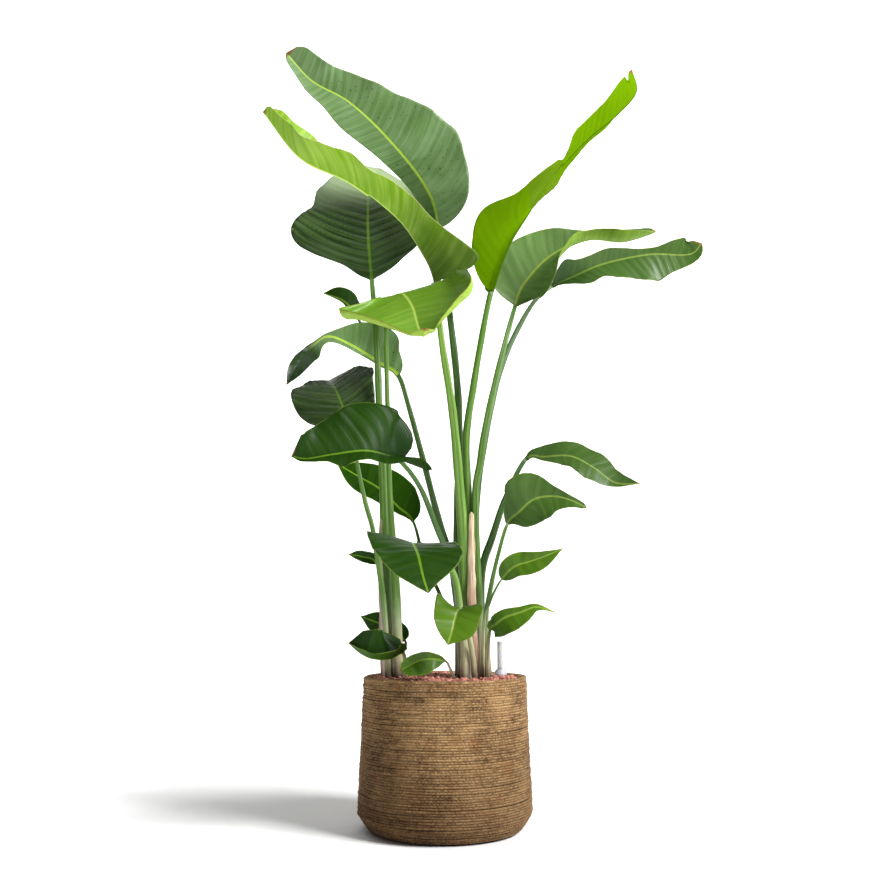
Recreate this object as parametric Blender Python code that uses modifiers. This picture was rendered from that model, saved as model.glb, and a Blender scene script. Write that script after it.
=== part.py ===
"""Potted bird of paradise.

A rope-wound planter holds a culture pot of clay granules with a water gauge.
Two clumps of long-stalked leaves grow out of the granules. Every leaf is a
stalk and a blade that meet on one smooth line, so a leaf is set by the points
of that line, the half widths of its blade and the angles of its two halves.

Units are metres. The origin is the centre of the planter's underside, +Z is
up and the front of the plant faces -Y.
"""

import math

import bmesh
import bpy
import numpy as np

# ---------------------------------------------------------------- dimensions

GAP = 0.0003                 # left between pieces that touch

# planter and its rope skin
POT_HEIGHT = 0.296
POT_RIM_R = 0.1665
POT_WIDEST_R = 0.175
POT_WIDEST_Z = 0.043
POT_FOOT_R = 0.152
ROPE = 0.005                 # thickness of the wound rope
ROPE_FOOT_Z = 0.002
ROPE_LIP_Z = 0.274           # where the rope ends inside the rim
WALL = 0.004                 # planter wall
LIP_R = POT_RIM_R - 2 * ROPE - WALL - 2 * GAP   # inside of the rope that folds over the rim
FLOOR = 0.005                # planter floor
POT_STEPS = 40

# culture pot and granules
CULTURE_FOOT_R = 0.131
CULTURE_TOP_R = 0.142
CULTURE_TOP_Z = 0.262
CULTURE_WALL = 0.002
CULTURE_RIM_R = 0.145        # its turned-out rim
SLOTS = 8
SLOT_SIZE = (0.012, 0.005, 0.030)
SLOT_Z = 0.040
GRANULE_R = LIP_R - GAP
GRANULE_Z = 0.290            # top of the granules at the wall
GRANULE_CROWN_Z = 0.2915     # top of the granules in the middle

# rootstocks: centre x, y and radii of each oval stump
STUMP_TOP = 0.2905
STUMP_FOOT = 0.268
STUMPS = {
    "rootstock_left": (-0.108, 0.004, 0.037, 0.057),
    "rootstock_centre": (0.0575, 0.000, 0.042, 0.067),
    "rootstock_front": (0.020, -0.070, 0.008, 0.008),
}

# water gauge
GAUGE_X, GAUGE_Y = 0.115, 0.030
GAUGE_FOOT = 0.012
GAUGE_SHAFT_R = 0.009
GAUGE_COLLAR_R = 0.014
GAUGE_COLLAR_Z = 0.2945
GAUGE_NECK_Z = 0.307
GAUGE_TUBE_R = 0.0065
GAUGE_TUBE_WALL = 0.0012
GAUGE_TOP = 0.364
GAUGE_STEPS = 20

# leaves
BLADE_THICK = 0.0012
BLADE_ROWS = 14              # rows of faces along a blade
SMALL_ROWS = 7
HALF_COLUMNS = 4             # rows of faces from the midrib to a margin
LOBE = 0.35                  # share of a blade over which the base lobes sweep back
STALK_STEP = 0.11            # distance between the rings of a stalk
STALK_FOOT = STUMP_TOP + GAP

GREEN = (0.09, 0.24, 0.05)
DARK = (0.04, 0.13, 0.04)
BRIGHT = (0.28, 0.45, 0.03)


def leaf(stalk, spine, radii, left, right, left_angles, right_angles, curl=(0, 0), base=0.18,
         tip=0.0, sweep=(0, 0), across=None, back=False, rows=BLADE_ROWS, color=GREEN):
    """One leaf. Every list of numbers is read at even steps along the stalk or the blade.

    stalk         points from the foot to just below the blade
    spine         points from the blade's base to its tip
    radii         radius of the stalk from its foot up
    left, right   half widths of the blade from base to tip, as seen from the front
    left_angles   how the left half is turned: 0 lies square to the front, 90 faces the viewer
    right_angles  the same for the right half
    curl          degrees by which each half bends further on its way to the margin
    base          share of the blade's length over which its base rounds out, for both
                  halves or for each
    tip           share of the blade's length over which a blunt tip rounds off
    sweep         how far the base lobes reach back past the stalk's end
    across        direction of the left half at angle 0, for a leaf that points forward or back
    back          True where the front of the blade is its underside
    """
    return dict(stalk=stalk, spine=spine, radii=radii, widths=(left, right),
                angles=(left_angles, right_angles), curl=curl, base=base, tip=tip, sweep=sweep,
                across=across, back=back, rows=rows, color=color)


LEAVES = {
    # the tall leaves of the centre clump
    "top_broad": leaf(
        [(0.035, 0.025), (0.035, 0.025, 0.45), (0.030, 0.025, 0.58), (0.030, 0.025, 0.70),
         (0.030, 0.025, 0.85), (0.025, 0.025, 0.935), (0.015, 0.030, 1.035)],
        [(-0.015, 0.040, 1.28), (-0.045, 0.050, 1.385), (-0.130, 0.070, 1.51),
         (-0.225, 0.080, 1.61), (-0.315, 0.080, 1.665), (-0.375, 0.060, 1.725)],
        (0.013, 0.013, 0.0085, 0.0075, 0.0045),
        (0.030, 0.032, 0.035, 0.040, 0.047, 0.056, 0.064, 0.058, 0.042, 0.022, 0.014),
        (0.070, 0.092, 0.112, 0.132, 0.124, 0.104, 0.082, 0.064, 0.056, 0.052, 0.040),
        (-45, -15, 10, 20), (0, 5, 10, 25), tip=0.05, color=DARK),
    "top_left": leaf(
        [(0.050, -0.005), (0.045, -0.010, 0.40), (0.040, -0.010, 0.52), (0.035, -0.015, 0.62),
         (0.025, -0.020, 0.75), (0.015, -0.025, 0.85), (-0.005, -0.035, 0.98)],
        [(-0.025, -0.050, 1.12), (-0.055, -0.070, 1.185), (-0.105, -0.090, 1.25),
         (-0.200, -0.110, 1.32), (-0.305, -0.120, 1.37), (-0.390, -0.110, 1.48)],
        (0.0115, 0.012, 0.01, 0.008, 0.0055),
        (0.130, 0.088, 0.072, 0.070, 0.078, 0.085, 0.088, 0.085, 0.065, 0.045, 0.030),
        (0.090, 0.095, 0.100, 0.100, 0.100, 0.100, 0.098, 0.094, 0.082, 0.048, 0.034),
        (170, 130, 105, 105, 120), (-70, -75, -70, -45, 0), base=0.05, tip=0.05, color=BRIGHT),
    "top_right": leaf(
        [(0.065, 0.015), (0.055, 0.010, 0.45), (0.050, 0.010, 0.635), (0.045, 0.005, 0.77),
         (0.050, 0.000, 0.835), (0.060, -0.005, 0.895), (0.075, -0.010, 0.985)],
        [(0.100, -0.020, 1.11), (0.135, -0.020, 1.21), (0.175, -0.020, 1.28),
         (0.250, -0.010, 1.395), (0.320, 0.000, 1.475), (0.390, 0.000, 1.535),
         (0.435, 0.000, 1.59), (0.425, -0.010, 1.64)],
        (0.009, 0.009, 0.0085, 0.0075, 0.006),
        (0.060, 0.080, 0.100, 0.085, 0.135, 0.060, 0.070, 0.060, 0.070, 0.065, 0.030),
        (0.080, 0.095, 0.085, 0.085, 0.060, 0.020),
        (30, 40, 95, 80, 65, 50), (-110, -105, -90, -100, -110), base=0.12, tip=0.04, back=True,
        color=BRIGHT),
    "right_upper": leaf(
        [(0.075, -0.010), (0.070, -0.010, 0.45), (0.065, -0.005, 0.57), (0.065, 0.000, 0.68),
         (0.075, 0.005, 0.74), (0.085, 0.010, 0.805), (0.115, 0.035, 0.94)],
        [(0.160, 0.075, 1.11), (0.185, 0.070, 1.165), (0.245, 0.060, 1.225),
         (0.325, 0.045, 1.255), (0.400, 0.020, 1.24), (0.470, 0.010, 1.26)],
        (0.008, 0.008, 0.0075, 0.007, 0.005),
        (0.075, 0.088, 0.062, 0.022, 0.028, 0.010),
        (0.055, 0.062, 0.070, 0.074, 0.072, 0.055, 0.036, 0.038, 0.048, 0.042, 0.018),
        (10, 5, 5, 20), (20, 20, 40, 60, 60, 40), curl=(0, (20, 30, 60, 90, 90, 70)), tip=0.05),
    "right_long": leaf(
        [(0.070, 0.035), (0.065, 0.035, 0.45), (0.065, 0.035, 0.575), (0.070, 0.035, 0.68),
         (0.085, 0.045, 0.78), (0.110, 0.070, 0.905), (0.135, 0.090, 0.99),
         (0.170, 0.115, 1.07), (0.210, 0.135, 1.14)],
        [(0.255, 0.160, 1.185), (0.310, 0.175, 1.215), (0.385, 0.185, 1.25),
         (0.495, 0.190, 1.275), (0.590, 0.190, 1.275), (0.620, 0.180, 1.30)],
        (0.0075, 0.0075, 0.007, 0.0065, 0.0045),
        (0.030, 0.052, 0.037, 0.032, 0.035, 0.026, 0.017, 0.018, 0.036, 0.042, 0.022),
        (0.015, 0.022, 0.045, 0.043, 0.055, 0.062, 0.072, 0.072, 0.046, 0.025, 0.008),
        (40, 35, 20, 0), (35, 30, 10, 0), tip=0.05, color=DARK),
    "left_arching": leaf(
        [(0.040, 0.050), (0.035, 0.050, 0.45), (0.015, 0.045, 0.53), (-0.015, 0.035, 0.625),
         (-0.045, 0.035, 0.74), (-0.080, 0.050, 0.87)],
        [(-0.105, 0.065, 0.945), (-0.145, 0.075, 0.975), (-0.215, 0.080, 1.02),
         (-0.265, 0.070, 1.035), (-0.300, 0.045, 1.00), (-0.320, 0.010, 0.955),
         (-0.340, -0.010, 0.905)],
        (0.0065, 0.0075, 0.0065, 0.005),
        (0.006, 0.008, 0.008, 0.010, 0.012, 0.014, 0.018, 0.030, 0.030, 0.020, 0),
        (0.030, 0.055, 0.080, 0.078, 0.050, 0.012, 0.006, 0.010, 0.016, 0.014, 0),
        (0, -20, -40, 10, 10), (-5, -10, 0, 10, 10), sweep=(0, 0.3), color=DARK),
    "left_broad": leaf(
        [(0.035, -0.025), (0.030, -0.025, 0.39), (0.020, -0.030, 0.47), (0.010, -0.030, 0.53),
         (-0.015, -0.040, 0.59), (-0.050, -0.060, 0.675)],
        [(-0.090, -0.100, 0.725), (-0.120, -0.120, 0.735), (-0.160, -0.140, 0.74),
         (-0.220, -0.155, 0.73), (-0.270, -0.165, 0.72), (-0.300, -0.165, 0.725)],
        (0.006, 0.0065, 0.006, 0.0045),
        (0.070, 0.048, 0.052, 0.060, 0.028, 0), (0.080, 0.100, 0.103, 0.080, 0.058, 0.046),
        (110, 65, 58, 62, 65), (-5, -10, -5, 10), base=(0.05, 0.18), tip=0.05, sweep=(1.6, 0.5),
        color=DARK),
    "left_rear": leaf(
        [(0.030, -0.005), (0.030, 0.000, 0.345), (0.010, 0.010, 0.41), (-0.015, 0.030, 0.47),
         (-0.045, 0.050, 0.535)],
        [(-0.070, 0.085, 0.62), (-0.105, 0.100, 0.655), (-0.145, 0.115, 0.695),
         (-0.195, 0.125, 0.725), (-0.245, 0.130, 0.755)],
        (0.0045, 0.004, 0.003),
        (0.008, 0.014, 0.026, 0.032, 0.026, 0), (0.034, 0.055, 0.056, 0.045, 0.030, 0),
        (0, 0, 0), (0, 0, 0), color=DARK),
    "front_centre": leaf(
        [(0.040, -0.045), (0.040, -0.045, 0.36), (0.030, -0.045, 0.435), (0.020, -0.050, 0.495),
         (-0.005, -0.060, 0.535), (-0.030, -0.075, 0.555)],
        [(-0.060, -0.105, 0.56), (-0.060, -0.145, 0.555), (-0.050, -0.200, 0.53),
         (-0.040, -0.240, 0.49), (-0.030, -0.260, 0.46)],
        (0.009, 0.0085, 0.0075, 0.005),
        (0.075, 0.080, 0.085, 0.080, 0.050, 0), (0.095, 0.095, 0.088, 0.076, 0.045, 0),
        (0, 5, 0, -10), (15, 10, 10, 10), sweep=(0.1, 0.1), across=(1, 0, -0.05), color=DARK),
    "front_low": leaf(
        [(0.060, -0.045), (0.055, -0.055, 0.34), (0.045, -0.080, 0.39)],
        [(0.030, -0.125, 0.43), (0.020, -0.150, 0.415), (0.015, -0.165, 0.395),
         (0.005, -0.175, 0.365)],
        (0.005, 0.005, 0.004),
        (0.045, 0.050, 0.050, 0.045, 0.030, 0), (0.060, 0.050, 0.042, 0.038, 0.025, 0),
        (20, 10, 0), (20, 15, 10), base=0.2, sweep=(0.8, 1.4), across=(1, 0, 0), rows=SMALL_ROWS),

    # the short leaves that lean right
    "right_arching": leaf(
        [(0.085, 0.015), (0.075, 0.015, 0.44), (0.080, 0.015, 0.52), (0.100, 0.020, 0.58),
         (0.130, 0.025, 0.665)],
        [(0.175, 0.030, 0.75), (0.215, 0.030, 0.755), (0.270, 0.020, 0.755),
         (0.315, 0.010, 0.73), (0.360, 0.000, 0.695), (0.410, -0.015, 0.69)],
        (0.008, 0.008, 0.0075, 0.0045),
        (0.010, 0.032, 0.042, 0.046, 0.052, 0.054, 0.052, 0.042, 0.032, 0.018, 0),
        (0.006, 0.010, 0.018, 0.026, 0.033, 0.038, 0.038, 0.028, 0.012, 0.004, 0),
        (-40, -40, -20), (35, 35, 20)),
    "right_middle": leaf(
        [(0.090, -0.005), (0.085, -0.010, 0.41), (0.095, -0.010, 0.475), (0.110, -0.015, 0.54)],
        [(0.130, -0.020, 0.605), (0.155, -0.030, 0.63), (0.185, -0.040, 0.655),
         (0.225, -0.050, 0.66), (0.260, -0.060, 0.65), (0.290, -0.060, 0.635)],
        (0.0055, 0.005, 0.0035),
        (0.015, 0.030, 0.045, 0.062, 0.060, 0.045, 0.024, 0.014, 0.009, 0.007, 0.005),
        (0.012, 0.025, 0.040, 0.048, 0.049, 0.048, 0.044, 0.030, 0.018, 0.010, 0.005),
        (0, 5, 20), (15, 10, 10), sweep=(0.1, 0.2)),
    "right_lower": leaf(
        [(0.075, -0.030), (0.080, -0.030, 0.41), (0.090, -0.035, 0.44), (0.100, -0.045, 0.465)],
        [(0.115, -0.050, 0.49), (0.140, -0.060, 0.515), (0.170, -0.070, 0.525),
         (0.200, -0.080, 0.535), (0.235, -0.090, 0.55)],
        (0.0035, 0.003, 0.002),
        (0.018, 0.024, 0.024, 0.016, 0.008, 0), (0.015, 0.020, 0.025, 0.025, 0.015, 0),
        (0, 0, 0), (10, 10, 10), sweep=(0.2, 0.2), rows=SMALL_ROWS),
    "right_lowest": leaf(
        [(0.085, -0.035), (0.085, -0.045, 0.34)],
        [(0.090, -0.070, 0.39), (0.100, -0.080, 0.40), (0.120, -0.090, 0.415),
         (0.150, -0.100, 0.425), (0.180, -0.105, 0.435), (0.215, -0.110, 0.425)],
        (0.0045, 0.004, 0.003),
        (0.015, 0.018, 0.014, 0.010, 0.005, 0), (0.020, 0.030, 0.033, 0.021, 0.006, 0),
        (-10, -10, 0), (15, 20, 20), sweep=(0.2, 0.6), rows=SMALL_ROWS),

    # the left clump
    "upper_fan": leaf(
        [(-0.115, 0.010), (-0.120, 0.015, 0.45), (-0.125, 0.015, 0.53), (-0.130, 0.020, 0.645),
         (-0.135, 0.030, 0.745), (-0.145, 0.045, 0.88), (-0.155, 0.070, 1.04)],
        [(-0.170, 0.110, 1.185), (-0.180, 0.125, 1.285), (-0.185, 0.155, 1.385),
         (-0.185, 0.215, 1.475), (-0.165, 0.290, 1.545)],
        (0.012, 0.01, 0.009, 0.007, 0.0055),
        (0.030, 0.060, 0.135, 0.180, 0.175, 0.138, 0.125, 0.105, 0.075, 0.050, 0),
        (0.030, 0.070, 0.115, 0.135, 0.145, 0.145, 0.135, 0.115, 0.090, 0.050, 0),
        (-5, 0, 10), (-5, 0, 10), base=0.1, color=DARK),
    "centre_cupped": leaf(
        [(-0.095, -0.005), (-0.100, -0.010, 0.43), (-0.105, -0.010, 0.52),
         (-0.115, -0.015, 0.655), (-0.120, -0.020, 0.80)],
        [(-0.125, -0.050, 1.02), (-0.110, -0.085, 1.065), (-0.090, -0.130, 1.07),
         (-0.065, -0.200, 1.02), (-0.050, -0.250, 0.96), (-0.040, -0.275, 0.935),
         (-0.035, -0.295, 0.945)],
        (0.01, 0.0095, 0.006, 0.005, 0.005),
        (0.030, 0.060, 0.090, 0.112, 0.120, 0.128, 0.140, 0.144, 0.130, 0.058, 0.015),
        (0.040, 0.045, 0.040, 0.045, 0.085, 0.148, 0.155, 0.130, 0.076, 0.036, 0.015),
        (-20, 0, 12, 20), (-15, -10, 0, 20), curl=(10, 10), tip=0.1, across=(1, 0, 0.2)),
    "left_small": leaf(
        [(-0.110, 0.040), (-0.120, 0.060, 0.53), (-0.140, 0.085, 0.75), (-0.145, 0.100, 0.88),
         (-0.155, 0.115, 1.00)],
        [(-0.205, 0.130, 1.10), (-0.220, 0.115, 1.12), (-0.240, 0.090, 1.13),
         (-0.275, 0.065, 1.135)],
        (0.005, 0.0045, 0.004, 0.003),
        (0.010, 0.010, 0.007, 0.004, 0), (0.012, 0.026, 0.030, 0.022, 0),
        (10, 10, 10), (0, 0, 0), rows=SMALL_ROWS, color=DARK),
    "left_hanging": leaf(
        [(-0.115, -0.025), (-0.120, -0.025, 0.37), (-0.130, -0.020, 0.47),
         (-0.150, -0.010, 0.59), (-0.170, 0.000, 0.66)],
        [(-0.205, 0.030, 0.81), (-0.225, 0.055, 0.87), (-0.245, 0.090, 0.915),
         (-0.265, 0.150, 0.95), (-0.280, 0.220, 0.97)],
        (0.006, 0.006, 0.005, 0.004),
        (0.030, 0.065, 0.090, 0.100, 0.104, 0.100, 0.085, 0.062, 0.038, 0.018, 0),
        (0.060, 0.070, 0.085, 0.098, 0.060, 0),
        (5, 10, 5), (-15, 18, 32), curl=(-15, 0), across=(-1, 0, 0), color=DARK),
    "left_pointed": leaf(
        [(-0.125, 0.030), (-0.130, 0.035, 0.45)],
        [(-0.145, 0.040, 0.525), (-0.175, 0.035, 0.54), (-0.205, 0.030, 0.545)],
        (0.0035, 0.003, 0.002),
        (0.010, 0.012, 0.011, 0.008, 0), (0.010, 0.013, 0.013, 0.010, 0),
        (10, 10, 0), (10, 10, 0), rows=SMALL_ROWS, color=DARK),
    "low_cupped": leaf(
        [(-0.085, -0.030), (-0.080, -0.035, 0.32)],
        [(-0.085, -0.050, 0.345), (-0.110, -0.070, 0.335), (-0.140, -0.085, 0.335),
         (-0.165, -0.090, 0.345), (-0.190, -0.090, 0.365)],
        (0.0045, 0.004, 0.003),
        (0.030, 0.040, 0.045, 0.040, 0.025, 0.010), (0.050, 0.056, 0.058, 0.058, 0.052, 0.035),
        (115, 110, 105), (-10, -10, 0), tip=0.08, sweep=(0.5, 0.3), rows=SMALL_ROWS),
    "low_rear": leaf(
        [(-0.095, 0.040), (-0.090, 0.050, 0.335)],
        [(-0.085, 0.060, 0.365), (-0.130, 0.065, 0.395), (-0.180, 0.070, 0.415)],
        (0.004, 0.0035, 0.0025),
        (0.020, 0.025, 0.025, 0.020, 0), (0.020, 0.025, 0.025, 0.020, 0),
        (0, 0, 0), (0, 0, 0), sweep=(0.5, 0.5), rows=SMALL_ROWS, color=DARK),
    "low_front": leaf(
        [(0.020, -0.070), (0.010, -0.075, 0.315)],
        [(0.000, -0.080, 0.33), (-0.030, -0.100, 0.335), (-0.055, -0.120, 0.33),
         (-0.085, -0.130, 0.315)],
        (0.003, 0.0025, 0.002),
        (0.008, 0.018, 0.026, 0.030, 0.024, 0.012), (0.006, 0.010, 0.014, 0.016, 0.016, 0.010),
        (20, 20, 20), (10, 10, 10), tip=0.1, rows=SMALL_ROWS, color=BRIGHT),
}

# dry sheaths at the foot of the stalks: points from foot to tip, and half width
SHEATHS = {
    "sheath_tall": ([(0.060, -0.030, STALK_FOOT), (0.055, -0.030, 0.45), (0.055, -0.025, 0.55),
                     (0.055, -0.025, 0.63)], 0.011),
    "sheath_pale": ([(0.050, -0.035, STALK_FOOT), (0.050, -0.035, 0.33),
                     (0.050, -0.035, 0.37)], 0.008),
    "sheath_left": ([(-0.125, -0.010, STALK_FOOT), (-0.130, -0.010, 0.40),
                     (-0.135, -0.005, 0.52), (-0.135, 0.000, 0.62)], 0.007),
}
SHEATH_WRAP = 40             # degrees that each half of a sheath bends around its stalk


# ------------------------------------------------------------------- helpers

def clear_scene():
    for old in list(bpy.data.objects):
        bpy.data.objects.remove(old, do_unlink=True)


def make_collection(name):
    group = bpy.data.collections.new(name)
    bpy.context.scene.collection.children.link(group)
    return group


def material(name, color, roughness=0.5, metallic=0.0, alpha=1.0):
    """Principled material, made once per name."""
    made = bpy.data.materials.get(name)
    if made is None:
        made = bpy.data.materials.new(name)
        made.use_nodes = True
        shader = made.node_tree.nodes["Principled BSDF"]
        shader.inputs["Base Color"].default_value = (*color, 1)
        shader.inputs["Roughness"].default_value = roughness
        shader.inputs["Metallic"].default_value = metallic
        shader.inputs["Alpha"].default_value = alpha
    return made


def add_object(name, data, group, finish=None):
    obj = bpy.data.objects.new(name, data)
    group.objects.link(obj)
    if finish is not None:
        data.materials.append(finish)
    return obj


def add_mesh(name, points, faces, group, finish=None):
    mesh = bpy.data.meshes.new(name)
    mesh.from_pydata([tuple(float(c) for c in point) for point in points], [], faces)
    mesh.update()
    return add_object(name, mesh, group, finish)


def turned(name, profile, group, finish, steps, closed=False, at=(0, 0)):
    """Turn a profile of (radius, z) points about a vertical axis with a Screw modifier."""
    count = len(profile)
    edges = [(i, i + 1) for i in range(count - 1)]
    if closed:
        edges.append((count - 1, 0))
    mesh = bpy.data.meshes.new(name)
    mesh.from_pydata([(r, 0, z) for r, z in profile], edges, [])
    obj = add_object(name, mesh, group, finish)
    obj.location = (at[0], at[1], 0)
    screw = obj.modifiers.new("Turn", "SCREW")
    screw.steps = steps
    screw.render_steps = steps
    screw.use_merge_vertices = True
    screw.merge_threshold = 0.0001
    screw.use_smooth_shade = True
    return obj


def cut(obj, cutters):
    for cutter in cutters:
        boolean = obj.modifiers.new("Cut", "BOOLEAN")
        boolean.operation = "DIFFERENCE"
        boolean.solver = "EXACT"
        boolean.object = cutter


def oval_prism(name, x, y, rx, ry, low, high, group, finish=None, segments=28):
    """Upright oval column, its size in the mesh so that the object keeps unit scale."""
    mesh = bpy.data.meshes.new(name)
    shape = bmesh.new()
    bmesh.ops.create_cone(shape, cap_ends=True, segments=segments, radius1=1, radius2=1, depth=1)
    bmesh.ops.scale(shape, vec=(rx, ry, high - low), verts=shape.verts)
    shape.to_mesh(mesh)
    shape.free()
    obj = add_object(name, mesh, group, finish)
    obj.location = (x, y, (low + high) / 2)
    return obj


def as_cutter(obj):
    obj.hide_render = True
    obj.display_type = "WIRE"
    return obj


# -------------------------------------------------------------------- curves

def through(values, at):
    """Smooth (Catmull-Rom) interpolation through evenly keyed values, at in 0..1."""
    keys = np.array(values, float)
    if keys.ndim == 1:
        keys = keys[:, None]
    keys = np.vstack([2 * keys[0] - keys[1], keys, 2 * keys[-1] - keys[-2]])
    place = np.clip(np.atleast_1d(at), 0, 1) * (len(keys) - 3)
    index = np.minimum(place.astype(int), len(keys) - 4)
    t = (place - index)[:, None]
    a, b, c, d = (keys[index + k] for k in range(4))
    return 0.5 * (2 * b + (c - a) * t + (2 * a - 5 * b + 4 * c - d) * t ** 2
                  + (3 * b - a - 3 * c + d) * t ** 3)


def unit(vectors):
    return vectors / np.linalg.norm(vectors, axis=-1, keepdims=True)


class Line:
    """A smooth line through points, read by distance along it."""

    def __init__(self, points, samples=400):
        at = np.linspace(0, 1, samples)
        self.points = through(points, at)
        steps = np.linalg.norm(np.diff(self.points, axis=0), axis=1)
        self.run = np.concatenate([[0], np.cumsum(steps)])
        self.length = self.run[-1]
        self.keys = np.interp(np.linspace(0, 1, len(points)), at, self.run)

    def at(self, distance):
        return np.column_stack([np.interp(distance, self.run, self.points[:, k])
                                for k in range(3)])

    def tangent(self, distance, reach=0.002):
        ahead = self.at(np.minimum(distance + reach, self.length))
        return unit(ahead - self.at(np.maximum(distance - reach, 0)))


def leaf_line(spec):
    """The whole line of a leaf, and the distance along it where the blade starts."""
    foot_x, foot_y = spec["stalk"][0]
    foot = (foot_x, foot_y, STALK_FOOT)
    line = Line([foot, *spec["stalk"][1:], *spec["spine"]])
    return line, line.keys[len(spec["stalk"])]


# -------------------------------------------------------------------- blades

def keyed(values, u):
    """A plain number, or a list of them read along u."""
    if isinstance(values, (int, float)):
        return np.full(len(u), float(values))
    return through(values, u)[:, 0]


def half_width(keys, u, base, tip):
    """Half width of a blade at u, rounded off at its base and at a blunt tip."""
    start = np.clip(1 - u / base, 0, 1)
    end = np.clip(1 - (1 - u) / max(tip, 1e-6), 0, 1)
    return np.maximum(keyed(keys, u), 0) * np.sqrt((1 - start ** 2) * (1 - end ** 2))


def blade_frames(line, start, u, across):
    """Points on the midrib with their tangents, left directions and facing directions."""
    distance = start + u * (line.length - start)
    tangent = line.tangent(distance)
    if across is None:
        side = np.column_stack([-tangent[:, 2], 0 * u, tangent[:, 0]])
    else:
        side = np.tile(np.array(across, float), (len(u), 1))
    side = unit(side - np.sum(side * tangent, axis=1)[:, None] * tangent)
    return line.at(distance), tangent, side, np.cross(tangent, side)


def half_blade(spec, u, frames, which):
    """Points and normals of one half of a blade, as rows x columns x 3."""
    origin, tangent, side, face = frames
    sign = 1 if which == 0 else -1
    lift = np.radians(keyed(spec["angles"][which], u))
    curl = np.radians(keyed(spec["curl"][which], u))
    least = spec["radii"][-1] * (1 - u) + BLADE_THICK
    base = spec["base"] if isinstance(spec["base"], float) else spec["base"][which]
    width = np.maximum(half_width(spec["widths"][which], u, base, spec["tip"]), least)
    back = spec["sweep"][which] * np.clip(1 - u / LOBE, 0, 1) * (u > 0)
    points, normals = [origin], []
    for column in range(HALF_COLUMNS + 1):
        v = column / HALF_COLUMNS
        angle = lift + curl * v
        out = sign * np.cos(angle)[:, None] * side + np.sin(angle)[:, None] * face
        normals.append(np.cos(angle)[:, None] * face - sign * np.sin(angle)[:, None] * side)
        if column:
            step = (out - (v * back)[:, None] * tangent) * (width / HALF_COLUMNS)[:, None]
            points.append(points[-1] + step)
    return np.stack(points, axis=1), np.stack(normals, axis=1)


def closed_sheet(front, rear):
    """Points and faces of a closed body between two grids, split along the same diagonals."""
    rows, columns = front.shape[:2]
    points = np.concatenate([front.reshape(-1, 3), rear.reshape(-1, 3)])
    under = rows * columns

    def corner(i, j):
        return i * columns + j

    faces = []
    for i in range(rows - 1):
        for j in range(columns - 1):
            a, b = corner(i, j), corner(i, j + 1)
            c, d = corner(i + 1, j + 1), corner(i + 1, j)
            for half in ((a, b, c), (a, c, d)):
                faces.append(half)
                faces.append(tuple(k + under for k in half[::-1]))
    rim = [corner(0, j) for j in range(columns - 1)]
    rim += [corner(i, columns - 1) for i in range(rows - 1)]
    rim += [corner(rows - 1, j) for j in range(columns - 1, 0, -1)]
    rim += [corner(i, 0) for i in range(rows - 1, 0, -1)]
    for a, b in zip(rim, rim[1:] + rim[:1]):
        faces.append((b, a, a + under, b + under))
    return points, faces


def blade_grids(spec, line, start):
    """Front and rear surface of a blade, from its left margin to its right one."""
    u = np.linspace(0, 1, spec["rows"] + 1) ** 1.15
    frames = blade_frames(line, start, u, spec["across"])
    left, left_normals = half_blade(spec, u, frames, 0)
    right, right_normals = half_blade(spec, u, frames, 1)
    middle = unit(left_normals[:, :1] + right_normals[:, :1])
    normals = np.concatenate([left_normals[:, :0:-1], middle, right_normals[:, 1:]], axis=1)
    upper = np.concatenate([left[:, :0:-1], right], axis=1)
    depth = np.full(upper.shape[:2], BLADE_THICK)
    depth[:, HALF_COLUMNS] += spec["radii"][-1] * (1 - u)
    if spec["back"]:
        return upper + normals * depth[..., None], upper
    return upper, upper - normals * depth[..., None]


def make_blade(name, spec, line, start, group, finish):
    points, faces = closed_sheet(*blade_grids(spec, line, start))
    obj = add_mesh(name, points, faces, group, finish)
    obj.data.shade_smooth()
    return obj


# -------------------------------------------------------------------- stalks

def make_tube(name, points, radii, group, finish):
    """Tapered round tube through the points, with flat ends."""
    curve = bpy.data.curves.new(name, "CURVE")
    curve.dimensions = "3D"
    curve.bevel_depth = 1.0
    curve.bevel_resolution = 1
    curve.resolution_u = 1
    curve.render_resolution_u = 0
    curve.use_fill_caps = True
    spline = curve.splines.new("POLY")
    spline.points.add(len(points) - 1)
    for knot, point, radius in zip(spline.points, points, radii):
        knot.co = (*point, 1)
        knot.radius = radius
    return add_object(name, curve, group, finish)


def make_stalk(name, spec, line, start, group, finish):
    """Stalk with an upright first stretch and a last one square to the blade's base."""
    ends = 0.008
    count = max(4, round(start / STALK_STEP))
    distance = np.concatenate([[0], np.linspace(2 * ends, start - ends, count), [start]])
    points = line.at(distance)
    points[1][:2] = points[0][:2]
    points[-2] = points[-1] - ends * line.tangent(np.array([start]))[0]
    radii = through(spec["radii"], distance / start)[:, 0]
    return make_tube(name, points, radii, group, finish)


def make_leaves(group):
    for name, spec in LEAVES.items():
        line, start = leaf_line(spec)
        make_stalk("stalk_" + name, spec, line, start, group,
                   material("stalk_" + name, spec["color"], 0.45))
        make_blade("leaf_" + name, spec, line, start + GAP, group,
                   material("leaf_" + name, spec["color"], 0.35))


def make_sheaths(group):
    for name, (points, half) in SHEATHS.items():
        line = Line(points)
        sides = (half, half, 0.8 * half, 0.5 * half)
        spec = leaf(None, points, (BLADE_THICK,), sides, sides, (0, 0), (0, 0),
                    curl=(-SHEATH_WRAP, -SHEATH_WRAP), base=0.01, rows=5)
        make_blade(name, spec, line, 0.0, group, material(name, (0.45, 0.30, 0.16), 0.8))


# ------------------------------------------------------------------- planter

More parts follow.
